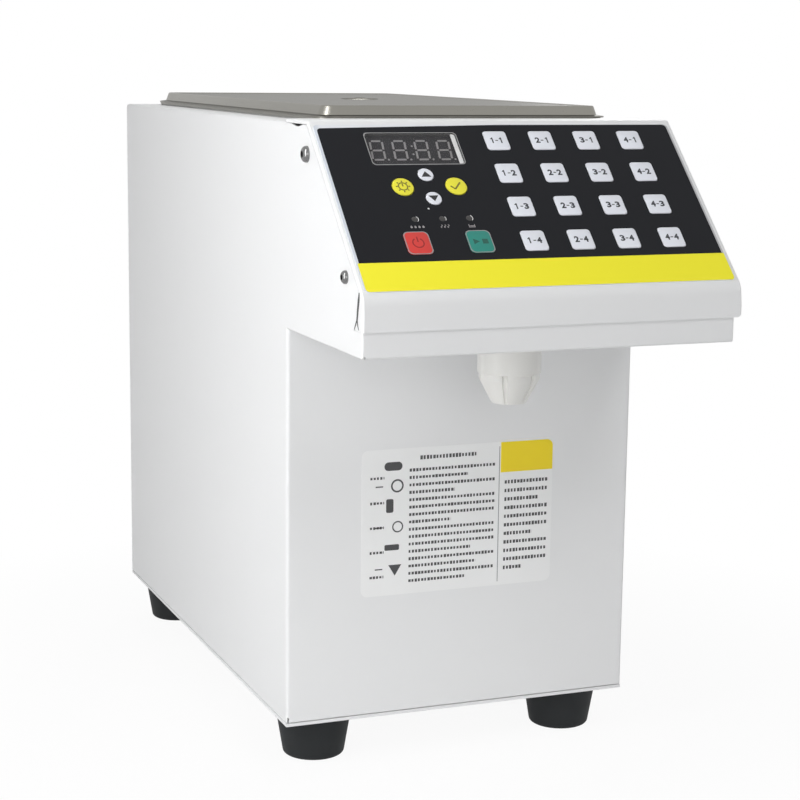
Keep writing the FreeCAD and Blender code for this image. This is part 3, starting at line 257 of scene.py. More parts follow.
def brushed_metal(name, colour, roughness, grain=(1, 60, 60), scale=40, wear=0.06, edge=1.0,
                  flat_shade_edge=None):
    """Edge and flat_shade_edge: shares of light kept at a glancing view, the second a painted shade on flat
    faces.
    """
    material, tree, shader = new_finish(name, colour, roughness, 1.0, Specular_Tint=(edge,) * 3)
    if flat_shade_edge is not None:
        tint = mix_colours(tree, lies_flat(tree), (edge,) * 3, (flat_shade_edge,) * 3)
        feed(tree, shader, Specular_Tint=tint)
    scratches = object_noise(tree, scale, 4, grain)
    darker = tuple(c * (1 - 2 * wear) for c in colour)
    feed(tree, shader, Base_Color=mix_colours(tree, object_noise(tree, 14, 3), darker, colour),
         Roughness=between(tree, scratches, roughness - wear, roughness + wear))
    add_bump(tree, shader, scratches, 0.01 * MM, 0.4)
    return material


# The lower share on flat faces darkens the lid's top: painted shade.
hopper_steel = brushed_metal("hopper_steel", (0.285, 0.277, 0.25), 0.3, (60, 1, 60), edge=0.88,
                             flat_shade_edge=0.36)
print("made", hopper_steel.name)

# %% [markdown]
# ## Plastics, rubber, film
# Moulded plastic, rubber, silicone and printed film differ mostly in gloss and in how coarse
# their skin is, so one recipe covers them: a colour that wanders a little, a roughness and a
# fine grain.  Light passes a little way into the hoses and the nozzle.

# %% Moulded finishes


def moulded(name, colour, roughness, grain=600, height=0.02, drift=0.06, depth=0.0, gloss=0.5):
    material, tree, shader = new_finish(name, colour, roughness, Specular_IOR_Level=gloss)
    lighter = tuple(min(1.0, c * (1 + drift)) for c in colour)
    darker = tuple(c * (1 - drift) for c in colour)
    feed(tree, shader, Base_Color=mix_colours(tree, object_noise(tree, 25, 3), darker, lighter),
         Roughness=between(tree, object_noise(tree, 90, 2), roughness - 0.05, roughness + 0.05))
    add_bump(tree, shader, object_noise(tree, grain, 2), height * MM, 0.5)
    if depth:
        feed(tree, shader, Subsurface_Weight=0.3, Subsurface_Radius=(depth,) * 3)
    return material


MOULDED = {                 # the rest of what moulded() takes, in its order
    "foot_rubber": ((0.02, 0.022, 0.0235), 0.7, 380, 0.05, 0.1, 0.0, 0.25),
    "switch_plastic": ((0.02, 0.02, 0.022), 0.5),
    "rocker_plastic": ((0.018, 0.018, 0.02), 0.25, 300, 0.008),
    "lamp_plastic": ((0.032, 0.03, 0.029), 0.3, 300, 0.005),
    "gasket_silicone": ((0.36, 0.36, 0.35), 0.6, 300, 0.03, 0.08),
    "hose_silicone": ((0.74, 0.75, 0.73), 0.35, 200, 0.01, 0.04, 0.002),
    "heater_silicone": ((0.5, 0.13, 0.04), 0.65, 800, 0.06),
    "float_plastic": ((0.8, 0.8, 0.77), 0.35, 300, 0.01, 0.03),
    "nozzle_plastic": ((0.80, 0.795, 0.77), 0.36, 260, 0.012, 0.03, 0.001),
}
BRUSHED = {                 # the rest of what brushed_metal() takes
    "pump_alloy": ((0.62, 0.62, 0.64), 0.38, (1, 1, 30)),
    "supply_alloy": ((0.6, 0.61, 0.62), 0.42, (30, 1, 1)),
    "bracket_steel": ((0.52, 0.52, 0.52), 0.4),
    "gear_steel": ((0.46, 0.46, 0.46), 0.3, (1, 30, 1)),
    "motor_steel": ((0.3, 0.3, 0.31), 0.42, (1, 30, 1)),
    "spring_steel": ((0.6, 0.6, 0.6), 0.22, (30, 30, 1)),
    "screw_chrome": ((0.22, 0.22, 0.22), 0.15, (1, 1, 1), 200, 0.03),
}
FINISHES = {"white_enamel": enamel, "hopper_steel": hopper_steel}
FINISHES.update({name: moulded(name, *rest) for name, rest in MOULDED.items()})
FINISHES.update({name: brushed_metal(name, *rest) for name, rest in BRUSHED.items()})
print("made", len(FINISHES), "finishes")

# %% [markdown]
# ## The printed film
# The overlay is one polyester film.  Its margin is left pale, a black field with rounded corners
# covers most of it, and a yellow field fills the last part down to its lower edge.  Both fields are
# rounded rectangles in panel millimetres, so the shader finds out for every point whether it lies
# inside one: fold the plane onto one corner, take away the straight sides, and what is left is a
# distance from the corner's centre.  No picture is needed, and the edge stays sharp at any size.
# The black was printed a little askew: its upper edge comes closer to the film's edge on the right.
# The margin is nearly white along the top; its bluish tint on the left and its grey on the right are painted
# shade of the cover's side edges.

# %% Printed film
# Pale margin ink; the bluish stop on the left and the grey stop on the right are painted shade.
MARGIN_INKS_AND_SHADE = ((0.0, (0.55, 0.60, 0.68)), (0.03, (0.76, 0.78, 0.81)), (0.96, (0.76, 0.78, 0.80)),
               (1.0, (0.42, 0.42, 0.43)))      # from the left edge to the right edge
BLACK_INK = (0.0092, 0.0098, 0.0122)
FILM_HALF_W = 107.5
FILM_GLOSS = 0.12
YELLOW_INK = (0.95, 0.88, 0.046)
BAND_S = 95.5              # where the yellow starts
ASKEW = 2.2                # how much higher the black reaches from the middle to the right
BLACK_FIELD = ((-104.0, 3.7), (104.4, 108.0), 2.4)      # top left, bottom right, corner radius
YELLOW_FIELD = ((-104.8, 80.0), (106.9, 113.9), 2.0)


def panel_plane(tree):
    """Vector (x, s, 0) in panel millimetres, for any point near the panel."""
    place = add_node(tree, "TexCoord")
    turn = add_node(tree, "Mapping", vector_type="TEXTURE", Vector=place.outputs["Object"],
                    Location=SLOPE_TOP, Rotation=(math.pi / 2 - SLOPE, 0, 0), Scale=(MM, MM, MM))
    return calculate(tree, "MULTIPLY", turn.outputs["Vector"], (1, -1, 0), kind="VectorMath")


def inside_field(tree, plane, first, last, radius):
    """1 inside a rounded rectangle between two corners, 0 outside."""
    middle = [(a + b) / 2 for a, b in zip(first, last)]
    straight = [(b - a) / 2 - radius for a, b in zip(first, last)]
    value = plane
    for operation, *other in (("SUBTRACT", (*middle, 0)), ("ABSOLUTE",), ("SUBTRACT", (*straight, 0)),
                              ("MAXIMUM", (0, 0, 0)), ("LENGTH",)):
        value = calculate(tree, operation, value, *other, kind="VectorMath")
    return calculate(tree, "LESS_THAN", value, radius)


def margin_colour_and_shade(tree, across):
    """Colour of the bare margin across the film; its bluish and grey ends are painted shade."""
    ramp = add_node(tree, "ValToRGB")
    stops = ramp.color_ramp.elements
    for i, (at, colour) in enumerate(MARGIN_INKS_AND_SHADE):
        stop = stops[i] if i < 2 else stops.new(at)
        stop.position = at
        stop.color = (*colour, 1)
    share = add_node(tree, "MapRange", Value=across, From_Min=-FILM_HALF_W, From_Max=FILM_HALF_W)
    feed(tree, ramp, Fac=share.outputs["Result"])
    return ramp.outputs["Color"]


def askew_plane(tree, plane, across):
    """The same plane with everything right of the left edge lifted, up to the middle."""
    lift = add_node(tree, "MapRange", Value=across, From_Min=BLACK_FIELD[0][0], From_Max=0.0, To_Max=ASKEW)
    shift = add_node(tree, "CombineXYZ", Y=lift.outputs["Result"])
    return calculate(tree, "ADD", plane, shift.outputs["Vector"], kind="VectorMath")


def overlay_film():
    material, tree, shader = new_finish("overlay_film", BLACK_INK, 0.5, Specular_IOR_Level=FILM_GLOSS)
    plane = panel_plane(tree)
    across, down = add_node(tree, "SeparateXYZ", Vector=plane).outputs[:2]
    fields = []
    for at, field, side in ((askew_plane(tree, plane, across), BLACK_FIELD, "LESS_THAN"),
                            (plane, YELLOW_FIELD, "GREATER_THAN")):
        fields.append(calculate(tree, "MULTIPLY", inside_field(tree, at, *field),
                                calculate(tree, side, down, BAND_S)))
    black = mix_colours(tree, fields[0], margin_colour_and_shade(tree, across), BLACK_INK)
    feed(tree, shader, Base_Color=mix_colours(tree, fields[1], black, YELLOW_INK),
         Roughness=between(tree, object_noise(tree, 30, 3), 0.46, 0.56))
    add_bump(tree, shader, object_noise(tree, 900, 2), 0.01 * MM, 0.3)
    return material


FINISHES["overlay_film"] = overlay_film()


def ink(name, colour, roughness=0.45, gloss=0.5):
    """Print: one colour, faintly uneven."""
    return moulded(name, colour, roughness, 900, 0.006, 0.03, gloss=gloss)


PRINTED = {                 # the rest of what ink() takes
    "key_white": ((0.78, 0.80, 0.86),),
    "key_yellow": ((0.82, 0.765, 0.05),),
    "key_red": ((0.61, 0.046, 0.038),),
    "key_green": ((0.017, 0.222, 0.178),),
    "display_grey": ((0.05, 0.049, 0.052), 0.7, FILM_GLOSS),
    "label_film": ((0.86, 0.865, 0.865), 0.4),
}
FINISHES.update({name: ink(name, *rest) for name, rest in PRINTED.items()})
print("finishes now", len(FINISHES))

# %% [markdown]
# ## Inks and small finishes
# Print on the keys, the film and the label is far thinner than a hair.  It is drawn here as very
# thin plates, so each ink is a finish of its own, taken from the slot of the piece it is printed on.
# Ink on the film and on the display's face is as dull as they are.

# %% Inks
INKS = {                    # name: (colour, the record's slot)
    "numeral_ink": ((0.02, 0.022, 0.03), "key_white"),
    "symbol_black": ((0.008, 0.008, 0.01), "key_white"),
    "symbol_olive": ((0.16, 0.14, 0.02), "key_yellow"),
    "symbol_red": ((0.27, 0.012, 0.012), "key_red"),
    "symbol_green": ((0.008, 0.085, 0.062), "key_green"),
    "outline_grey": ((0.33, 0.33, 0.33), "overlay_film"),
    "mark_grey": ((0.36, 0.34, 0.35), "overlay_film"),
    "segment_grey": ((0.31, 0.30, 0.30), "display_grey"),
    # The two liner inks are lit and shaded copies of the white enamel: painted light and painted shade.
    "liner_white": ((0.88, 0.88, 0.88), "white_enamel"),
    "liner_grey": ((0.12, 0.12, 0.12), "white_enamel"),
    "hole_black": (BLACK_INK, "overlay_film"),
    "label_text": ((0.055, 0.055, 0.058), "label_film"),
    "label_line": ((0.3, 0.3, 0.31), "label_film"),
    "label_yellow": ((0.90, 0.70, 0.014), "label_film"),
    # Painted shade of the split beside the lip.
    "seam_dark": ((0.03, 0.03, 0.031), "white_enamel"),
}
DULL_SLOTS = ("overlay_film", "display_grey")
for name, (colour, slot) in INKS.items():
    FINISHES[name] = ink(name, colour, 0.5, FILM_GLOSS if slot in DULL_SLOTS else 0.5)
print("inks", list(INKS))

# %% [markdown]
# ## Board and window
# The circuit board hides under the cover: green laminate with a faint weave.  The window over the
# display is thin smoked film; it is nearly clear with a soft gloss, so that the digits below stay
# readable.

# %% Board and window


def board_laminate():
    material, tree, shader = new_finish("board_laminate", (0.02, 0.16, 0.06), 0.35)
    weave = object_noise(tree, 500, 1, (1, 4, 4))
    feed(tree, shader, Base_Color=mix_colours(tree, weave, (0.015, 0.13, 0.05), (0.03, 0.2, 0.08)))
    return material


def clear_film():
    material, tree, shader = new_finish("clear_film", (0.12, 0.12, 0.13), 0.08, Specular_IOR_Level=0.25,
                                        Alpha=0.05)
    feed(tree, shader, Roughness=between(tree, object_noise(tree, 60, 2), 0.05, 0.14))
    return material


FINISHES["board_laminate"] = board_laminate()
FINISHES["clear_film"] = clear_film()
print("board and window ready")

# %% [markdown]
# ## Dress the construction
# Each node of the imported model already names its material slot.  Giving a node a finish is then
# one line: put the finish of its slot in its own object's first material slot.

# %% Dress every node
for part in frame["record"]["subparts"]:
    node = nodes[part["node"]]
    node.data.materials.clear()
    node.data.materials.append(FINISHES[part["material_slot"]])

# %% [markdown]
# ## Helpers for new pieces
# A new piece starts as a bmesh in easy local measures, is carried to its place by a matrix, and
# then rides on the body that it belongs to.  Its object stays at the origin: the place is in the
# mesh.  Where no other body is named, it rides on the casing.  Faces are shaded smooth where they
# meet at less than a sharp angle.

# %% Helpers for pieces
SHARP = math.radians(32)


def as_mesh(name, shape):
    """Mesh with the geometry of a bmesh, which is used up."""
    mesh = bpy.data.meshes.new(name)
    shape.to_mesh(mesh)
    shape.free()
    return mesh


def finish_bmesh(name, shape, place, finish, body="casing", replaces=()):
    """Turn a bmesh in millimetres into a placed piece with outward faces and sharp edges kept.

    It gets its finish, the body it rides on and the nodes it stands for.
    """
    bmesh.ops.remove_doubles(shape, verts=shape.verts, dist=1e-4)
    bmesh.ops.recalc_face_normals(shape, faces=shape.faces)
    shape.transform(place)
    for face in shape.faces:
        face.smooth = True
    for edge in shape.edges:
        if len(edge.link_faces) == 2 and edge.calc_face_angle() > SHARP:
            edge.smooth = False
    piece = add_object(name, as_mesh(name, shape))
    piece.data.materials.append(FINISHES[finish])
    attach(piece, body)
    if replaces:
        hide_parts(*replaces)


def moved(x=0.0, y=0.0, z=0.0, turn=0.0):
    """Place in millimetres, turned about the outward axis."""
    return Matrix.Translation((x, y, z)) @ Matrix.Rotation(math.radians(turn), 4, "Z")


def round_off(shape, geom, offset, segments, affect="VERTICES"):
    bmesh.ops.bevel(shape, geom=geom, offset=offset, segments=segments, profile=0.5, affect=affect,
                    material=-1)


def rounded_face(width, height, radius, segments=6):
    """Bmesh with one flat face: a rectangle with rounded corners, or a disc."""
    shape = bmesh.new()
    if 2 * radius >= min(width, height):
        bmesh.ops.create_circle(shape, cap_ends=True, segments=8 * segments, radius=width / 2)
        return shape
    bmesh.ops.create_grid(shape, x_segments=1, y_segments=1, size=0.5)
    bmesh.ops.scale(shape, vec=(width, height, 1), verts=shape.verts)
    if radius:
        round_off(shape, shape.verts[:], radius, segments)
    return shape


def thicken(shape, thickness):
    """Raise a flat bmesh into a closed plate, from its own level up."""
    grown = bmesh.ops.extrude_face_region(shape, geom=shape.faces[:], use_keep_orig=True)
    top = [v for v in grown["geom"] if isinstance(v, bmesh.types.BMVert)]
    bmesh.ops.translate(shape, vec=(0, 0, thickness), verts=top)
    return shape


def plate(width, height, radius, thickness, segments=6):
    return thicken(rounded_face(width, height, radius, segments), thickness)


def soften(shape, offset, height, segments=3):
    """Bevel the edges that lie flat at a height."""
    edges = [e for e in shape.edges if all(abs(v.co.z - height) < 1e-5 for v in e.verts)]
    round_off(shape, edges, offset, segments, "EDGES")
    return shape


def join_shapes(shapes):
    """One bmesh out of several, each given with the place it goes to."""
    whole = bmesh.new()
    for shape, place in shapes:
        shape.transform(place)
        mesh = as_mesh("part", shape)
        whole.from_mesh(mesh)
        bpy.data.meshes.remove(mesh)
    return whole


def ring(radius, loops, segments=6):
    """Closed ring through rectangles (width, height, x, y, z); the first has rounded corners."""
    width, height, *at = loops[0]
    shape = rounded_face(width, height, radius, segments)
    bmesh.ops.delete(shape, geom=shape.faces[:], context="FACES_ONLY")
    shape.transform(Matrix.Translation(at))
    edges = shape.edges[:]
    for new_width, new_height, *to in loops[1:] + loops[:1]:
        grown = bmesh.ops.extrude_edge_only(shape, edges=edges)["geom"]
        edges = [e for e in grown if isinstance(e, bmesh.types.BMEdge)]
        resize = Matrix.Diagonal((new_width / width, new_height / height, 1, 1))
        bmesh.ops.transform(shape, matrix=Matrix.Translation(to) @ resize @ Matrix.Translation(at).inverted(),
                            verts=[v for v in grown if isinstance(v, bmesh.types.BMVert)])
        width, height, at = new_width, new_height, to
    return shape


def turned(section, steps, closed=False):
    """Line through (radius, height) points, or a closed section, spun about the upright axis."""
    shape = bmesh.new()
    line = [shape.verts.new((r, 0, z)) for r, z in section]
    edges = [shape.edges.new(pair) for pair in zip(line, line[1:] + line[:1] * closed)]
    bmesh.ops.spin(shape, geom=[*line, *edges], cent=(0, 0, 0), axis=(0, 0, 1), angle=2 * math.pi,
                   steps=steps, use_merge=True)
    return shape


def dome(section):
    """Solid of revolution below a line that ends on its axis."""
    shape = turned(section, 48)
    bmesh.ops.remove_doubles(shape, verts=shape.verts, dist=1e-4)
    bmesh.ops.holes_fill(shape, edges=shape.edges[:], sides=0)
    return shape


print("piece helpers ready")

# %% [markdown]
# ## Key tops
# The keys are raised fields of the same film: white squares with rounded corners, two yellow and
# two white discs, and a red and a green command key.  A slightly rolled upper edge is what catches
# the light on the real ones, so each is a plate whose top rim is bevelled.  It replaces the plain
# block of the construction and rides on that key's own body, so it goes down when the key does.

# %% Key tops
KEY_TOP = FILM_T + 0.3      # the keys stand a little above the film
KEY_THICK = 2.7
KEY_EDGE = 0.35             # bevel of the upper rim
LARGE_DISC, SMALL_DISC, COMMAND = (11.8, 11.8, 5.9), (8.6, 8.6, 4.3), (13.9, 15.0, 2.8)
KEY_SHAPES = {"key_set": LARGE_DISC, "key_save": LARGE_DISC, "key_up": SMALL_DISC,
              "key_down": SMALL_DISC, "key_power": COMMAND, "key_dispense": COMMAND}
NUMBER_KEYS = {"key_%d_%d" % (c, r): "%d-%d" % (c, r) for r in range(1, 5) for c in range(1, 5)}
KEY_SHAPES.update({name: (13.5, 13.5, 1.9) for name in NUMBER_KEYS})
SLOT_OF_NODE = {part["node"]: part["material_slot"] for part in frame["record"]["subparts"]}

for name, (width, height, radius) in KEY_SHAPES.items():
    x, s = panel_spot(name)
    cap = soften(plate(width, height, radius, KEY_THICK), KEY_EDGE, KEY_THICK)
    finish_bmesh(name + "_cap", cap, PANEL @ moved(x, -s, KEY_TOP - KEY_THICK), SLOT_OF_NODE[name],
                 name, [name])
print("key tops", len(KEY_SHAPES))

# %% [markdown]
# ## Numerals
# Each white square carries its column and row.  A text object gives the outlines, made a little
# bolder; it is turned into a mesh first, then scaled to the printed size, thickened and laid on
# its key.  The two digits stand at the ends of the same width on every key, except that a pair of
# ones stands closer, with a short dash between them.  The 1 is drawn from two bars so that its flag
# shows.

# %% Numerals
INK_T = 0.03
NUMERAL_HALF_W = 4.05
ONES_CLOSER = 0.4           # each digit of 1-1
DIGIT_SIZES = (2.75, 4.0)
BOLDER = 0.04               # what the outlines of a text grow by, before scaling
ONE_STEM = 0.72
ONE_FLAG = (1.25, 0.6)
FLAG_AT = (-0.5, -0.75)     # from the top of the stem
FLAG_TURN = 38
STEM_FROM_END = {-1: 1.2, 1: -1.0}      # on the left end and on the right end
DASH_SIZES = (1.6, 0.6)
DASH_UP = -0.1


def text_shape(words, width, height):
    """Thin plate in the shape of a text, centred, in millimetres."""
    curve = bpy.data.curves.new("text", "FONT")
    curve.body = words
    curve.resolution_u = 3
    curve.offset = BOLDER
    holder = bpy.data.objects.new("text", curve)
    mesh = bpy.data.meshes.new_from_object(holder)
    shape = bmesh.new()
    shape.from_mesh(mesh)
    bpy.data.objects.remove(holder)
    bpy.data.curves.remove(curve)
    bpy.data.meshes.remove(mesh)
    xs = [v.co.x for v in shape.verts]
    ys = [v.co.y for v in shape.verts]
    bmesh.ops.translate(shape, vec=(-(min(xs) + max(xs)) / 2, -(min(ys) + max(ys)) / 2, 0),
                        verts=shape.verts)
    bmesh.ops.scale(shape, vec=(width / (max(xs) - min(xs)), height / (max(ys) - min(ys)), 1),
                    verts=shape.verts)
    bmesh.ops.remove_doubles(shape, verts=shape.verts, dist=1e-3)
    return thicken(shape, INK_T)


def digit_parts(digit, side, half_w):
    """One digit as (shape, place), at its end: side is -1 on the left, 1 on the right."""
    width, height = DIGIT_SIZES
    if digit == "1":
        stem = side * half_w + STEM_FROM_END[side]
        return [(plate(ONE_STEM, height, 0, INK_T), moved(stem)),
                (plate(*ONE_FLAG, 0, INK_T),
                 moved(stem + FLAG_AT[0], height / 2 + FLAG_AT[1], 0, FLAG_TURN))]
    return [(text_shape(digit, width, height), moved(side * (half_w - width / 2)))]


def numeral(words):
    half_w = NUMERAL_HALF_W - (ONES_CLOSER if words == "1-1" else 0.0)
    dash = [(plate(*DASH_SIZES, 0, INK_T), moved(0, DASH_UP))]
    return join_shapes(digit_parts(words[0], -1, half_w) + dash + digit_parts(words[2], 1, half_w))


def print_on_key(name, kind, shape, finish, up=0.0):
    """Lay a flat shape on top of a key."""
    x, s = panel_spot(name)
    finish_bmesh(name + kind, shape, PANEL @ moved(x, up - s, KEY_TOP), finish, name)


for name, words in NUMBER_KEYS.items():
    print_on_key(name, "_numeral", numeral(words), "numeral_ink")
print("numerals", len(NUMBER_KEYS))

# %% [markdown]
# ## Symbols
# The other keys carry plain symbols: triangles for up and down, a dial for setting, a tick for
# keeping, the usual ring and bar for power, and a triangle and a square for start and stop.  Each is
# built from three small shapes: a triangle, a bar, and a band that is an edge spun through an arc.

# %% Symbols


def triangle(width, height):
    """Flat triangle that points up."""
    shape = bmesh.new()
    bmesh.ops.create_circle(shape, cap_ends=True, segments=3, radius=1)
    bmesh.ops.scale(shape, vec=(width / math.sqrt(3), height / 1.5, 1), verts=shape.verts)
    return thicken(shape, INK_T)


def bar(width, height):
    return plate(width, height, 0, INK_T)


def band(radius, width, start=0.0, sweep=360.0):
    """Flat band along an arc."""
    shape = bmesh.new()
    ends = [shape.verts.new((r, 0, 0)) for r in (radius - width / 2, radius + width / 2)]
    edge = shape.edges.new(ends)
    bmesh.ops.rotate(shape, verts=ends, matrix=Matrix.Rotation(math.radians(start), 3, "Z"))
    bmesh.ops.spin(shape, geom=[*ends, edge], cent=(0, 0, 0), axis=(0, 0, 1),
                   angle=math.radians(sweep), steps=max(6, round(sweep / 12)), use_merge=sweep >= 360)
    return thicken(shape, INK_T)


def tick(size, width):
    return join_shapes([(bar(size, width), moved(size * 0.12, 0, 0, 50)),
                        (bar(size * 0.5, width), moved(-size * 0.38, -size * 0.2, 0, -45))])


ARROW = (5.6, 3.9)
ARROW_OFF = 0.4             # set back, because a triangle reaches further towards its tip
DIAL_LINE = 0.7
TEETH_R = 3.5               # middle of the dial's teeth

down = join_shapes([(triangle(*ARROW), moved(turn=180))])
dial = [(band(2.5, DIAL_LINE), moved()), (bar(DIAL_LINE, 2.0), moved(0, 1.0))]
dial += [(bar(DIAL_LINE, 1.0), moved(turn=turn) @ moved(0, TEETH_R)) for turn in range(0, 360, 45)]
power = [(band(3.0, 0.75, 120, 300), moved()), (bar(0.75, 3.4), moved(0, 2.3))]
run = [(triangle(3.8, 3.6), moved(-2.6, 0, 0, -90)), (bar(3.2, 3.2), moved(2.8, 0))]
symbols = (("key_up", triangle(*ARROW), "symbol_black", -ARROW_OFF),
           ("key_down", down, "symbol_black", ARROW_OFF),
           ("key_set", join_shapes(dial), "symbol_olive", 0), ("key_save", tick(6.0, 0.9), "symbol_olive", 0),
           ("key_power", join_shapes(power), "symbol_red", 0),
           ("key_dispense", join_shapes(run), "symbol_green", 0))
for name, shape, finish, up in symbols:
    print_on_key(name, "_symbol", shape, finish, up)
print("symbols on", len(symbols), "keys")

# %% [markdown]
# ## Edges of the command keys
# The red and the green key each have a thin grey line just inside their edge.  A black frame on the
# film closes the gap between the coloured field and its hole.

# %% Edges of the command keys
OUTLINE_GROWTH = (-0.1, -1.0)      # how much wider than the key its two edges are
FRAME_GROWTH = (0.1, 2.9)


def flat_ring(width, height, radius, first, second):
    """Thin ring between two edges, each so much wider than a rounded rectangle."""
    return ring(radius, [(width + more, height + more, 0, 0, level)
                         for more, level in ((first, 0), (first, INK_T), (second, INK_T), (second, 0))])


COMMAND_KEYS = ("key_power", "key_dispense")
for name in COMMAND_KEYS:
    x, s = panel_spot(name)
    print_on_key(name, "_outline", flat_ring(*KEY_SHAPES[name], *OUTLINE_GROWTH), "outline_grey")
    finish_bmesh(name + "_frame", flat_ring(*KEY_SHAPES[name], *FRAME_GROWTH),
                 PANEL @ moved(x, -s, FILM_T), "hole_black")
print("edges on", len(COMMAND_KEYS), "keys")

# %% [markdown]
# ## The display behind its window
# The film has a clear window with a thin printed outline.  Through it one sees the cut edge of the
# painted cover, given a dark grey as painted shade, a white strip of the frame on the right, painted
# light for the lit part of that edge, and the dark face of a four-digit module with its unlit segments.
# The segments are short plates with a slight lean; the face is its own plate, close below the window.

# %% Display
DISPLAY_X, DISPLAY_S = panel_spot("display_window")
DISPLAY_W = 52.0
DISPLAY_H = 21.7
DISPLAY_R = 2.2
WINDOW_EDGE = (1.3, 0.3)    # how much wider than the window the two edges of its outline are
FACE_W = -1.5               # level of the module's face
FACE_T = 0.3
FACE_R = 1.5
LINER_R = 1.6
LINER = ((-0.1, 0), (-0.5, 0), (-0.6, FACE_W), (-0.1, FACE_W))      # wider than the window, level
STRIP_SIZES = (2.4, DISPLAY_H - 0.3, 0.7, 0.3)      # width, height, radius, thickness
STRIP_IN = 0.2              # from the window's right end
STRIP_W = -0.35
DIGITS_AT = (-1.3, 0.6)     # middle of the digits, from the window's middle
DIGIT_W = 6.9
DIGIT_H = 13.2
DIGIT_PITCH = 12.7
STROKE = 1.15
STROKE_R = 0.3
SEGMENT_GAPS = (1.5, 1.3)   # what a flat and an upright segment fall short of their length
DOT = 1.2
POINT_OUT = 1.9             # the point, from the digit's right edge
COLON = (0.9, 2.9)
LEAN = 0.1


def on_display(level, x=0.0, y=0.0):
    """Place on the display, from the window's middle."""
    return PANEL @ moved(DISPLAY_X + x, y - DISPLAY_S, level)


def dot():
    return plate(DOT, DOT, DOT / 2, INK_T, 2)


def digit_segments(x):
    """The seven segments and the point of one digit, as (shape, place)."""
    half_w, half_h = DIGIT_W / 2, DIGIT_H / 2
    flat, tall = DIGIT_W - SEGMENT_GAPS[0], half_h - SEGMENT_GAPS[1]
    parts = [(plate(flat, STROKE, STROKE_R, INK_T, 2), moved(x, y)) for y in (-half_h, 0, half_h)]
    parts += [(plate(STROKE, tall, STROKE_R, INK_T, 2), moved(x + side * half_w, y))
              for side in (-1, 1) for y in (-half_h / 2, half_h / 2)]
    return parts + [(dot(), moved(x + half_w + POINT_OUT, -half_h))]


segments = []
for i in range(4):
    segments += digit_segments((i - 1.5) * DIGIT_PITCH)
segments += [(dot(), moved(COLON[0], side * COLON[1])) for side in (-1, 1)]
digits = join_shapes(segments)
for vert in digits.verts:
    vert.co.x += LEAN * vert.co.y
finish_bmesh("display_digits", digits, on_display(FACE_W, *DIGITS_AT), "segment_grey")
face = plate(DISPLAY_W - 0.2, DISPLAY_H - 0.2, FACE_R, FACE_T)
finish_bmesh("display_face", face, on_display(FACE_W - FACE_T), "display_grey")
liner = ring(LINER_R, [(DISPLAY_W + more, DISPLAY_H + more, 0, 0, level) for more, level in LINER])
# The liner's dark grey is painted shade on the cover's white cut edge.
finish_bmesh("display_liner", liner, on_display(0), "liner_grey")
strip_x = (DISPLAY_W - STRIP_SIZES[0]) / 2 - STRIP_IN
# The white strip is painted light: the lit right wall of the same cut edge.
finish_bmesh("display_frame", plate(*STRIP_SIZES), on_display(STRIP_W, strip_x), "liner_white")
edge = flat_ring(DISPLAY_W, DISPLAY_H, DISPLAY_R, *WINDOW_EDGE)
finish_bmesh("display_outline", edge, on_display(FILM_T), "outline_grey")
print("display at", round(DISPLAY_X, 1), round(DISPLAY_S, 1))

# %% [markdown]
# ## Marks under the lamps
# Three tiny pale marks say what the lamps stand for: drops for the supply, waves for the heat, a cup
# for the filling.  Bars and bands make them, as they make the symbols.

# %% Lamp marks
MARK_S = 72.5
LAMP_XS = (-66.0, -50.6, -35.5)
THIN = 0.35                 # line of a mark
TALL = 1.9                  # height of a mark


def drop(size):
    """Round below, pointed above."""
    shape = bmesh.new()
    bmesh.ops.create_circle(shape, cap_ends=True, segments=20, radius=size / 3)
    tip = max(shape.verts, key=lambda v: v.co.y)
    bmesh.ops.translate(shape, vec=(0, size / 3, 0), verts=[tip])
    return thicken(shape, INK_T)


def wave(height):
    return [(band(height / 4, THIN, -90, 180), moved(0, height / 4)),
            (band(height / 4, THIN, 90, 180), moved(0, -height / 4))]


drops = [(drop(TALL), moved(x, -0.2)) for x in (-3.3, -1.1, 1.1, 3.3)]
waves = [(shape, moved(x) @ place) for x in (-1.9, 0, 1.9) for shape, place in wave(TALL)]
cup = [(bar(THIN, TALL), moved(-1.6)), (bar(THIN, TALL), moved(1.6)),
       (bar(3.5, THIN), moved(0, -TALL / 2)), (bar(2.7, 0.5), moved(0, -0.2))]
for name, parts, x in zip(("supply", "heat", "fill"), (drops, waves, cup), LAMP_XS):
    finish_bmesh("mark_" + name, join_shapes(parts), PANEL @ moved(x, -MARK_S, FILM_T), "mark_grey")
print("marks at s", MARK_S)

# %% [markdown]
# ## The lamps
# Each lamp is a low dark bead in a black disc, which is painted shade over the walls of its hole, and
# on its right a bright crescent is a painted highlight on the hole's cut edge.  A pin hole above them lets
# the buzzer sound.

# %% Lamps of the panel
LAMP_S = 67.4
DISC = 4.7
BEAD = ((1.7, 0.0), (1.55, 0.12), (1.1, 0.24), (0.5, 0.3), (0.0, 0.31))      # radius, height
BEAD_OFF = -0.1             # left of and below the disc's middle
CRESCENT = (1.95, 0.32)     # radius, width
CRESCENT_ARCS = ((-50, 110), (-35, 75), (-50, 110))      # start and sweep in degrees
PIN_HOLE = (-56.4, 60.4)    # x, s

# Black discs: painted shade over the walls of the holes.
discs = [(plate(DISC, DISC, DISC / 2, INK_T), moved(x, -LAMP_S)) for x in LAMP_XS]
finish_bmesh("lamp_discs", join_shapes(discs), PANEL @ moved(z=FILM_T), "hole_black")
beads = [(dome(BEAD), moved(x + BEAD_OFF, BEAD_OFF - LAMP_S)) for x in LAMP_XS]
finish_bmesh("lamp_beads", join_shapes(beads), PANEL @ moved(z=FILM_T + INK_T), "lamp_plastic")
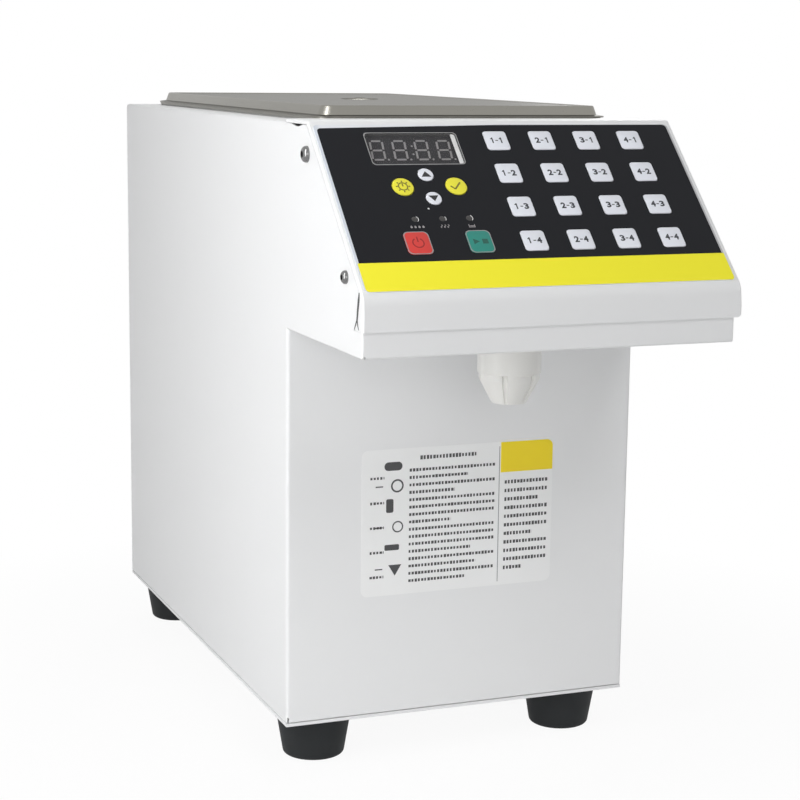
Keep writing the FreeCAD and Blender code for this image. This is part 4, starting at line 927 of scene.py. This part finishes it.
# Crescents: painted highlight on the lit right side of each hole's cut edge.
glints = [(band(*CRESCENT, *arc), moved(x, -LAMP_S, INK_T)) for x, arc in zip(LAMP_XS, CRESCENT_ARCS)]
glints.append((plate(1.0, 1.0, 0.5, INK_T, 3), moved(PIN_HOLE[0], -PIN_HOLE[1])))
finish_bmesh("lamp_glints", join_shapes(glints), PANEL @ moved(z=FILM_T), "liner_white")
print("lamps at s", LAMP_S)

# %% [markdown]
# ## The label
# The white label on the front carries print in three areas.  Here they hold nothing that can be
# read: a bare yellow block, rows of short dashes where lines of text would be, a thin divider, and
# a loose column of plain shapes.  Every dash is a thin plate; seeded random widths keep the rows
# from looking ruled.

# %% Label print
LABEL_T = 0.15
LABEL_LEFT, LABEL_BELOW = -62.8, 69.8
LABEL_RIGHT, LABEL_ABOVE = 57.2, 155.5
PITCH = 2.0                 # one dash and its gap
# left, right, level of the first row, rows, distance of rows, height, rows that end early
TEXT_BLOCKS = ((-33.5, 20.5, 142.6, 16, 4.35, 1.9, (1, 3, 7, 11, 13, 15)),
               (-27.0, 8.0, 149.6, 1, 0.0, 2.4, ()),
               (26.5, 54.5, 131.5, 11, 5.15, 2.3, (2, 6, 10)),
               (-57.5, -49.0, 139.0, 5, 14.5, 1.6, ()))
BLOCK_W, BLOCK_H = 33.4, 18.0
BLOCK_CORNER = 3.9
BLOCK_MARGIN = 0.1          # to the label's edges
DIVIDER = (0.5, 81.0)
DIVIDER_AT = (22.9, 112.5)


def dashes(left, right, level, height, spread):
    """One row of short dashes."""
    row = []
    x = left
    while x < right:
        width = min(PITCH * spread.uniform(0.55, 0.8), right - x)
        row.append((plate(width, height * spread.uniform(0.75, 1.0), 0, INK_T), moved(x + width / 2, level)))
        x += PITCH
    return row


def text_block(left, right, top, rows, pitch, height, ragged, spread):
    """Rows of dashes; some rows end early, as paragraphs do."""
    block = []
    for i in range(rows):
        end = right - (right - left) * (spread.uniform(0.2, 0.6) if i in ragged else 0)
        block += dashes(left, end, top - i * pitch, height, spread)
    return block


def print_label(name, shape, finish, x=0.0, y=0.0):
    finish_bmesh("label_" + name, shape, FRONT @ moved(x, y, LABEL_T), finish)


spread = random.Random(5)
rows = [row for block in TEXT_BLOCKS for row in text_block(*block, spread)]
print_label("rows", join_shapes(rows), "label_text")

block = rounded_face(BLOCK_W, BLOCK_H, 0)
corner = max(block.verts, key=lambda v: v.co.x + v.co.y)
round_off(block, [corner], BLOCK_CORNER, 8)
print_label("block", thicken(block, INK_T), "label_yellow", LABEL_RIGHT - BLOCK_W / 2 - BLOCK_MARGIN,
            LABEL_ABOVE - BLOCK_H / 2 - BLOCK_MARGIN)
print_label("divider", plate(*DIVIDER, 0, INK_T), "label_line", *DIVIDER_AT)

motifs = [(plate(11.0, 5.0, 2.4, INK_T), moved(-43.5, 145.5)), (band(3.4, 1.0), moved(-41.0, 134.0)),
          (plate(4.5, 8.0, 1.0, INK_T), moved(-45.5, 122.5)), (band(3.0, 0.8), moved(-40.5, 110.0)),
          (plate(9.0, 3.4, 0.8, INK_T), moved(-44.0, 98.0)), (triangle(8.0, 6.5), moved(-42.0, 85.5, 0, 180))]
motifs += [(bar(4.6, 0.7), moved(-52.0, level)) for level in (134.0, 110.0, 85.5)]
print_label("shapes", join_shapes(motifs), "label_text")
print("label", LABEL_RIGHT - LABEL_LEFT, "by", LABEL_ABOVE - LABEL_BELOW, "mm")

# %% [markdown]
# ## The hopper lid
# The lid is pressed from thin steel: a narrow flat brim, a steep skirt, a rolled rim and a top that
# lies a little lower.  One rounded face is enough to start from.  Insetting it again and again,
# each time with a step up or down, draws the whole section; the rim is rolled in two small steps.
# A wall thickness then turns the skin into sheet.  In the middle a low round plateau carries a rivet.

# %% Hopper lid
LID_LOW, LID_HIGH = (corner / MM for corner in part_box("hopper_lid"))
LID_HIGH.x += 1.8           # the pressing is a little wider on the right
LID_MID = (LID_LOW + LID_HIGH) / 2
LID_TOP = CASE_Z1 / MM + 8.6
BRIM_R = 13.0
SHEET = 0.8
SKIRT_UP = LID_TOP - 0.6 - (LID_LOW.z + SHEET + 0.6)
# each step of the section: how far in, and how far up
LID_STEPS = ((4.3, 0.6), (1.7, SKIRT_UP), (0.25, 0.35), (0.35, 0.25), (2.2, 0.0), (0.6, -0.5), (1.5, 0.0))
RIVET_X = -1.0              # from the middle of the pressing
BOSS = ((13.0, -0.5), (11.0, 0.2), (4.2, 0.3), (3.4, 0.5), (1.8, 0.66), (0.0, 0.7))   # radius, height


def pressed_lid():
    """Open skin, thickened downwards."""
    shape = rounded_face(LID_HIGH.x - LID_LOW.x, LID_HIGH.y - LID_LOW.y, BRIM_R, 8)
    bmesh.ops.translate(shape, vec=(0, 0, LID_LOW.z + SHEET), verts=shape.verts)
    top = shape.faces[:]
    for inwards, up in LID_STEPS:
        bmesh.ops.inset_individual(shape, faces=top, thickness=inwards, depth=up, use_even_offset=True)
    bmesh.ops.solidify(shape, geom=shape.faces[:], thickness=SHEET)
    return shape


lid = join_shapes([(pressed_lid(), moved()), (dome(BOSS), moved(RIVET_X, 0, LID_TOP))])
finish_bmesh("lid_pressing", lid, IN_MM @ moved(LID_MID.x, LID_MID.y), "hopper_steel", "lid",
             ["hopper_lid"])
print("lid top at", round(LID_TOP, 1), "mm")

# %% [markdown]
# ## The split beside the lip
# On the left cheek one sees into the dark split between the cheek and the end tab of the lip.  The
# split widens below its top, and forks where the tab's corner is rounded.  Its shade is painted: each
# branch is a dark sliver laid on the cheek, a chain of points with a width at each of them.

# %% Split
LIP_FRONT, LIP_BOTTOM = (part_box("control_cover")[0] / MM).yz
CHEEK_X = -107.5
SLIVER_OUT = 0.05           # how far a sliver stands off the cheek
SLIVER_T = 0.03
# back from the lip's front, up from its lower edge, width
SPLIT = ((5.5, 19.6, 1.2), (6.1, 15.7, 2.6), (7.0, 11.6, 2.6), (7.7, 7.5, 2.2), (8.2, 5.0, 2.0))
SPLIT_REAR = ((8.6, 5.2, 1.5), (10.2, 2.8, 1.4), (12.0, 0.4, 1.0))
SPLIT_FRONT = ((7.8, 5.2, 1.5), (7.0, 2.8, 1.3), (5.6, 0.8, 0.9))


def sliver(chain):
    """Flat strip of painted shade on the cheek along a chain of points."""
    shape = bmesh.new()
    sides = [[shape.verts.new((CHEEK_X - SLIVER_OUT, LIP_FRONT + y + side * width / 2, LIP_BOTTOM + z))
              for y, z, width in chain] for side in (-1, 1)]
    for i in range(len(chain) - 1):
        shape.faces.new((sides[0][i], sides[0][i + 1], sides[1][i + 1], sides[1][i]))
    bmesh.ops.solidify(shape, geom=shape.faces[:], thickness=SLIVER_T)
    return shape


split = join_shapes([(sliver(chain), moved()) for chain in (SPLIT, SPLIT_REAR, SPLIT_FRONT)])
# The slivers are painted shade of the split.
finish_bmesh("lip_split", split, IN_MM, "seam_dark")
print("split from", round(LIP_BOTTOM, 1), "mm up")

# %% [markdown]
# ## The nozzle cap
# The cap is turned: one closed section, wall and bore together, is spun about the nozzle's axis in
# many narrow steps.  Its lower half has grip panels like the teeth of a slow ratchet.  Each starts
# flush, falls back a little as it goes round, and ends in a narrow groove before the next one, so
# every point of the outside is simply pulled inwards by an amount that depends on its angle.

# %% Nozzle cap
NOZZLE_LOW, NOZZLE_HIGH = (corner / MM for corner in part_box("nozzle_cap"))
NOZZLE_MID = (NOZZLE_LOW + NOZZLE_HIGH) / 2
# the section from the upper rim down the outside and up the bore: radius, height
NOZZLE_R = 17.4
NOZZLE_OUTSIDE = ((NOZZLE_R, 256.4), (NOZZLE_R, 237.2), (NOZZLE_R, 236.8), (NOZZLE_R, 234.2),
                  (17.1, 233.4), (14.1, 228.0), (11.1, 222.6), (10.4, 221.3), (9.7, 220.5), (8.9, 220.3))
NOZZLE_BORE = ((4.5, 220.3), (4.5, 222.0), (7.5, 222.0), (11.5, 233.0), (11.5, 237.0), (14.3, 237.0),
               (14.3, 256.4))
PANELS = 6
PANEL_START = -123.0       # angle of the groove that faces the camera side
PANEL_FALL = 1.1           # how far a panel falls back over its sweep
GROOVE = (4.8, 1.3)        # half width in degrees, depth
GRIP_Z = 237.0
MID_WALL = (8.0, 222.0, 0.45)      # radius between bore and outside: at the foot, its height, slope


def groove_pull(angle):
    """How far inwards the outside lies at an angle."""
    along = (angle - PANEL_START) % (360 / PANELS)
    pull = PANEL_FALL * along * PANELS / 360
    near = min(along, 360 / PANELS - along)
    return pull + (GROOVE[1] if near < GROOVE[0] else 0.0)


def turned_cap():
    shape = turned(NOZZLE_OUTSIDE + NOZZLE_BORE, 240, closed=True)
    foot_r, foot_z, slope = MID_WALL
    for vert in shape.verts:
        radius = math.hypot(vert.co.x, vert.co.y)
        if vert.co.z < GRIP_Z and radius > foot_r + max(0.0, vert.co.z - foot_z) * slope:
            share = 1 - groove_pull(math.degrees(math.atan2(vert.co.y, vert.co.x))) / NOZZLE_R
            vert.co.x *= share
            vert.co.y *= share
    return shape


finish_bmesh("nozzle_turned", turned_cap(), IN_MM @ moved(NOZZLE_MID.x, NOZZLE_MID.y), "nozzle_plastic",
             "nozzle_cap", ["nozzle_cap"])
print("nozzle cap", [round(v, 1) for v in (*NOZZLE_LOW, *NOZZLE_HIGH)])

# %% [markdown]
# ## The floor and the light
# A plain white floor runs past the view on every side.  Where the camera or a mirror looks at it
# the floor mostly shows pure white, and the rest is a real matte floor that keeps the shadow; that
# rest fades away with the distance from the machine.  The light is a dim pale sky with six
# lamps: an upright strip and a small one close to the left side, which make that side brightest
# near the front and let it fade to the rear, a soft one low in front for the panel and the nozzle,
# one high in front for the keypad, and two small ones behind: the lower brightens the right half of
# the lid, and the higher makes the plateau glint.  The one high in front is kept out of
# reflections, or its square would shine in the lid's front wall.

# %% Floor and sky
SHOWN_WHITE = (0.93, 1.0)   # share of plain white in what the camera sees: near, far
FADE = (0.20, 0.45)         # metres from the middle where near ends and far begins
FLOOR_HALF = 6              # metres


def seen_by_camera(tree):
    """1 for rays from the camera and from mirrors and glass, 0 for light that the floor gives."""
    rays = add_node(tree, "LightPath").outputs
    most = calculate(tree, "MAXIMUM", rays["Is Camera Ray"], rays["Is Glossy Ray"])
    return calculate(tree, "MAXIMUM", most, rays["Is Transmission Ray"])


def floor_finish():
    material, tree, shader = new_finish("floor_white", (0.86, 0.86, 0.86), 0.9)
    glow = add_node(tree, "Emission", Strength=1.0)
    away = calculate(tree, "LENGTH", add_node(tree, "TexCoord").outputs["Object"], kind="VectorMath")
    fade = add_node(tree, "MapRange", Value=away, From_Min=FADE[0], From_Max=FADE[1],
                    To_Min=SHOWN_WHITE[0], To_Max=SHOWN_WHITE[1])
    mix = add_node(tree, "MixShader")
    share = calculate(tree, "MULTIPLY", seen_by_camera(tree), fade.outputs["Result"])
    for socket, source in zip(mix.inputs, (share, shader.outputs["BSDF"], glow.outputs["Emission"])):
        fill(tree, socket, source)
    feed(tree, tree.nodes["Material Output"], Surface=mix.outputs["Shader"])
    return material


def make_floor():
    shape = bmesh.new()
    bmesh.ops.create_grid(shape, x_segments=1, y_segments=1, size=FLOOR_HALF)
    floor = add_object("floor", as_mesh("floor", shape))
    floor.data.materials.append(floor_finish())


SKY_LIGHT = 0.2             # what the sky gives to surfaces


def make_sky():
    world = bpy.data.worlds.new("sky")
    scene.world = world
    world.use_nodes = True
    tree = world.node_tree
    feed(tree, tree.nodes["Background"], Color=(1, 1, 1),
         Strength=between(tree, seen_by_camera(tree), SKY_LIGHT, 1.0))


make_floor()
make_sky()
print("floor and sky ready")

# %% Lamps


def soft_lamp(name, at, aim, size, watts, in_mirrors=True):
    """Rectangular area lamp that looks at a point, its height kept upright; not seen itself."""
    data = bpy.data.lights.new(name, "AREA")
    data.shape = "RECTANGLE"
    data.size, data.size_y = size
    data.energy = watts
    lamp = add_object(name, data)
    lamp.matrix_world = Matrix.Translation(at) @ (Vector(at) - Vector(aim)).to_track_quat(
        "Z", "Y").to_matrix().to_4x4()
    lamp.visible_camera = False
    lamp.visible_glossy = in_mirrors


soft_lamp("side_lamp", (-0.6, -0.3, 0.49), (-0.1, -0.12, 0.25), (0.2, 0.9), 3.35)
soft_lamp("left_lamp", (-0.604, -0.606, 0.389), (0, -0.1, 0.25), (0.3, 0.3), 0.4)
soft_lamp("low_lamp", (-0.2, -1.6, 0.5), (0, -0.12, 0.2), (0.8, 0.8), 3.0)
soft_lamp("high_lamp", (0.21, -1.62, 1.93), (0, -0.1, 0.25), (0.95, 0.95), 13.6, in_mirrors=False)
soft_lamp("back_lamp", (0.62, 0.9, 0.75), (0, 0.05, 0.37), (0.15, 0.2), 0.7)
soft_lamp("glint_lamp", (0.355, 0.98, 1.2), (0, 0.05, 0.37), (0.2, 0.2), 1.3)
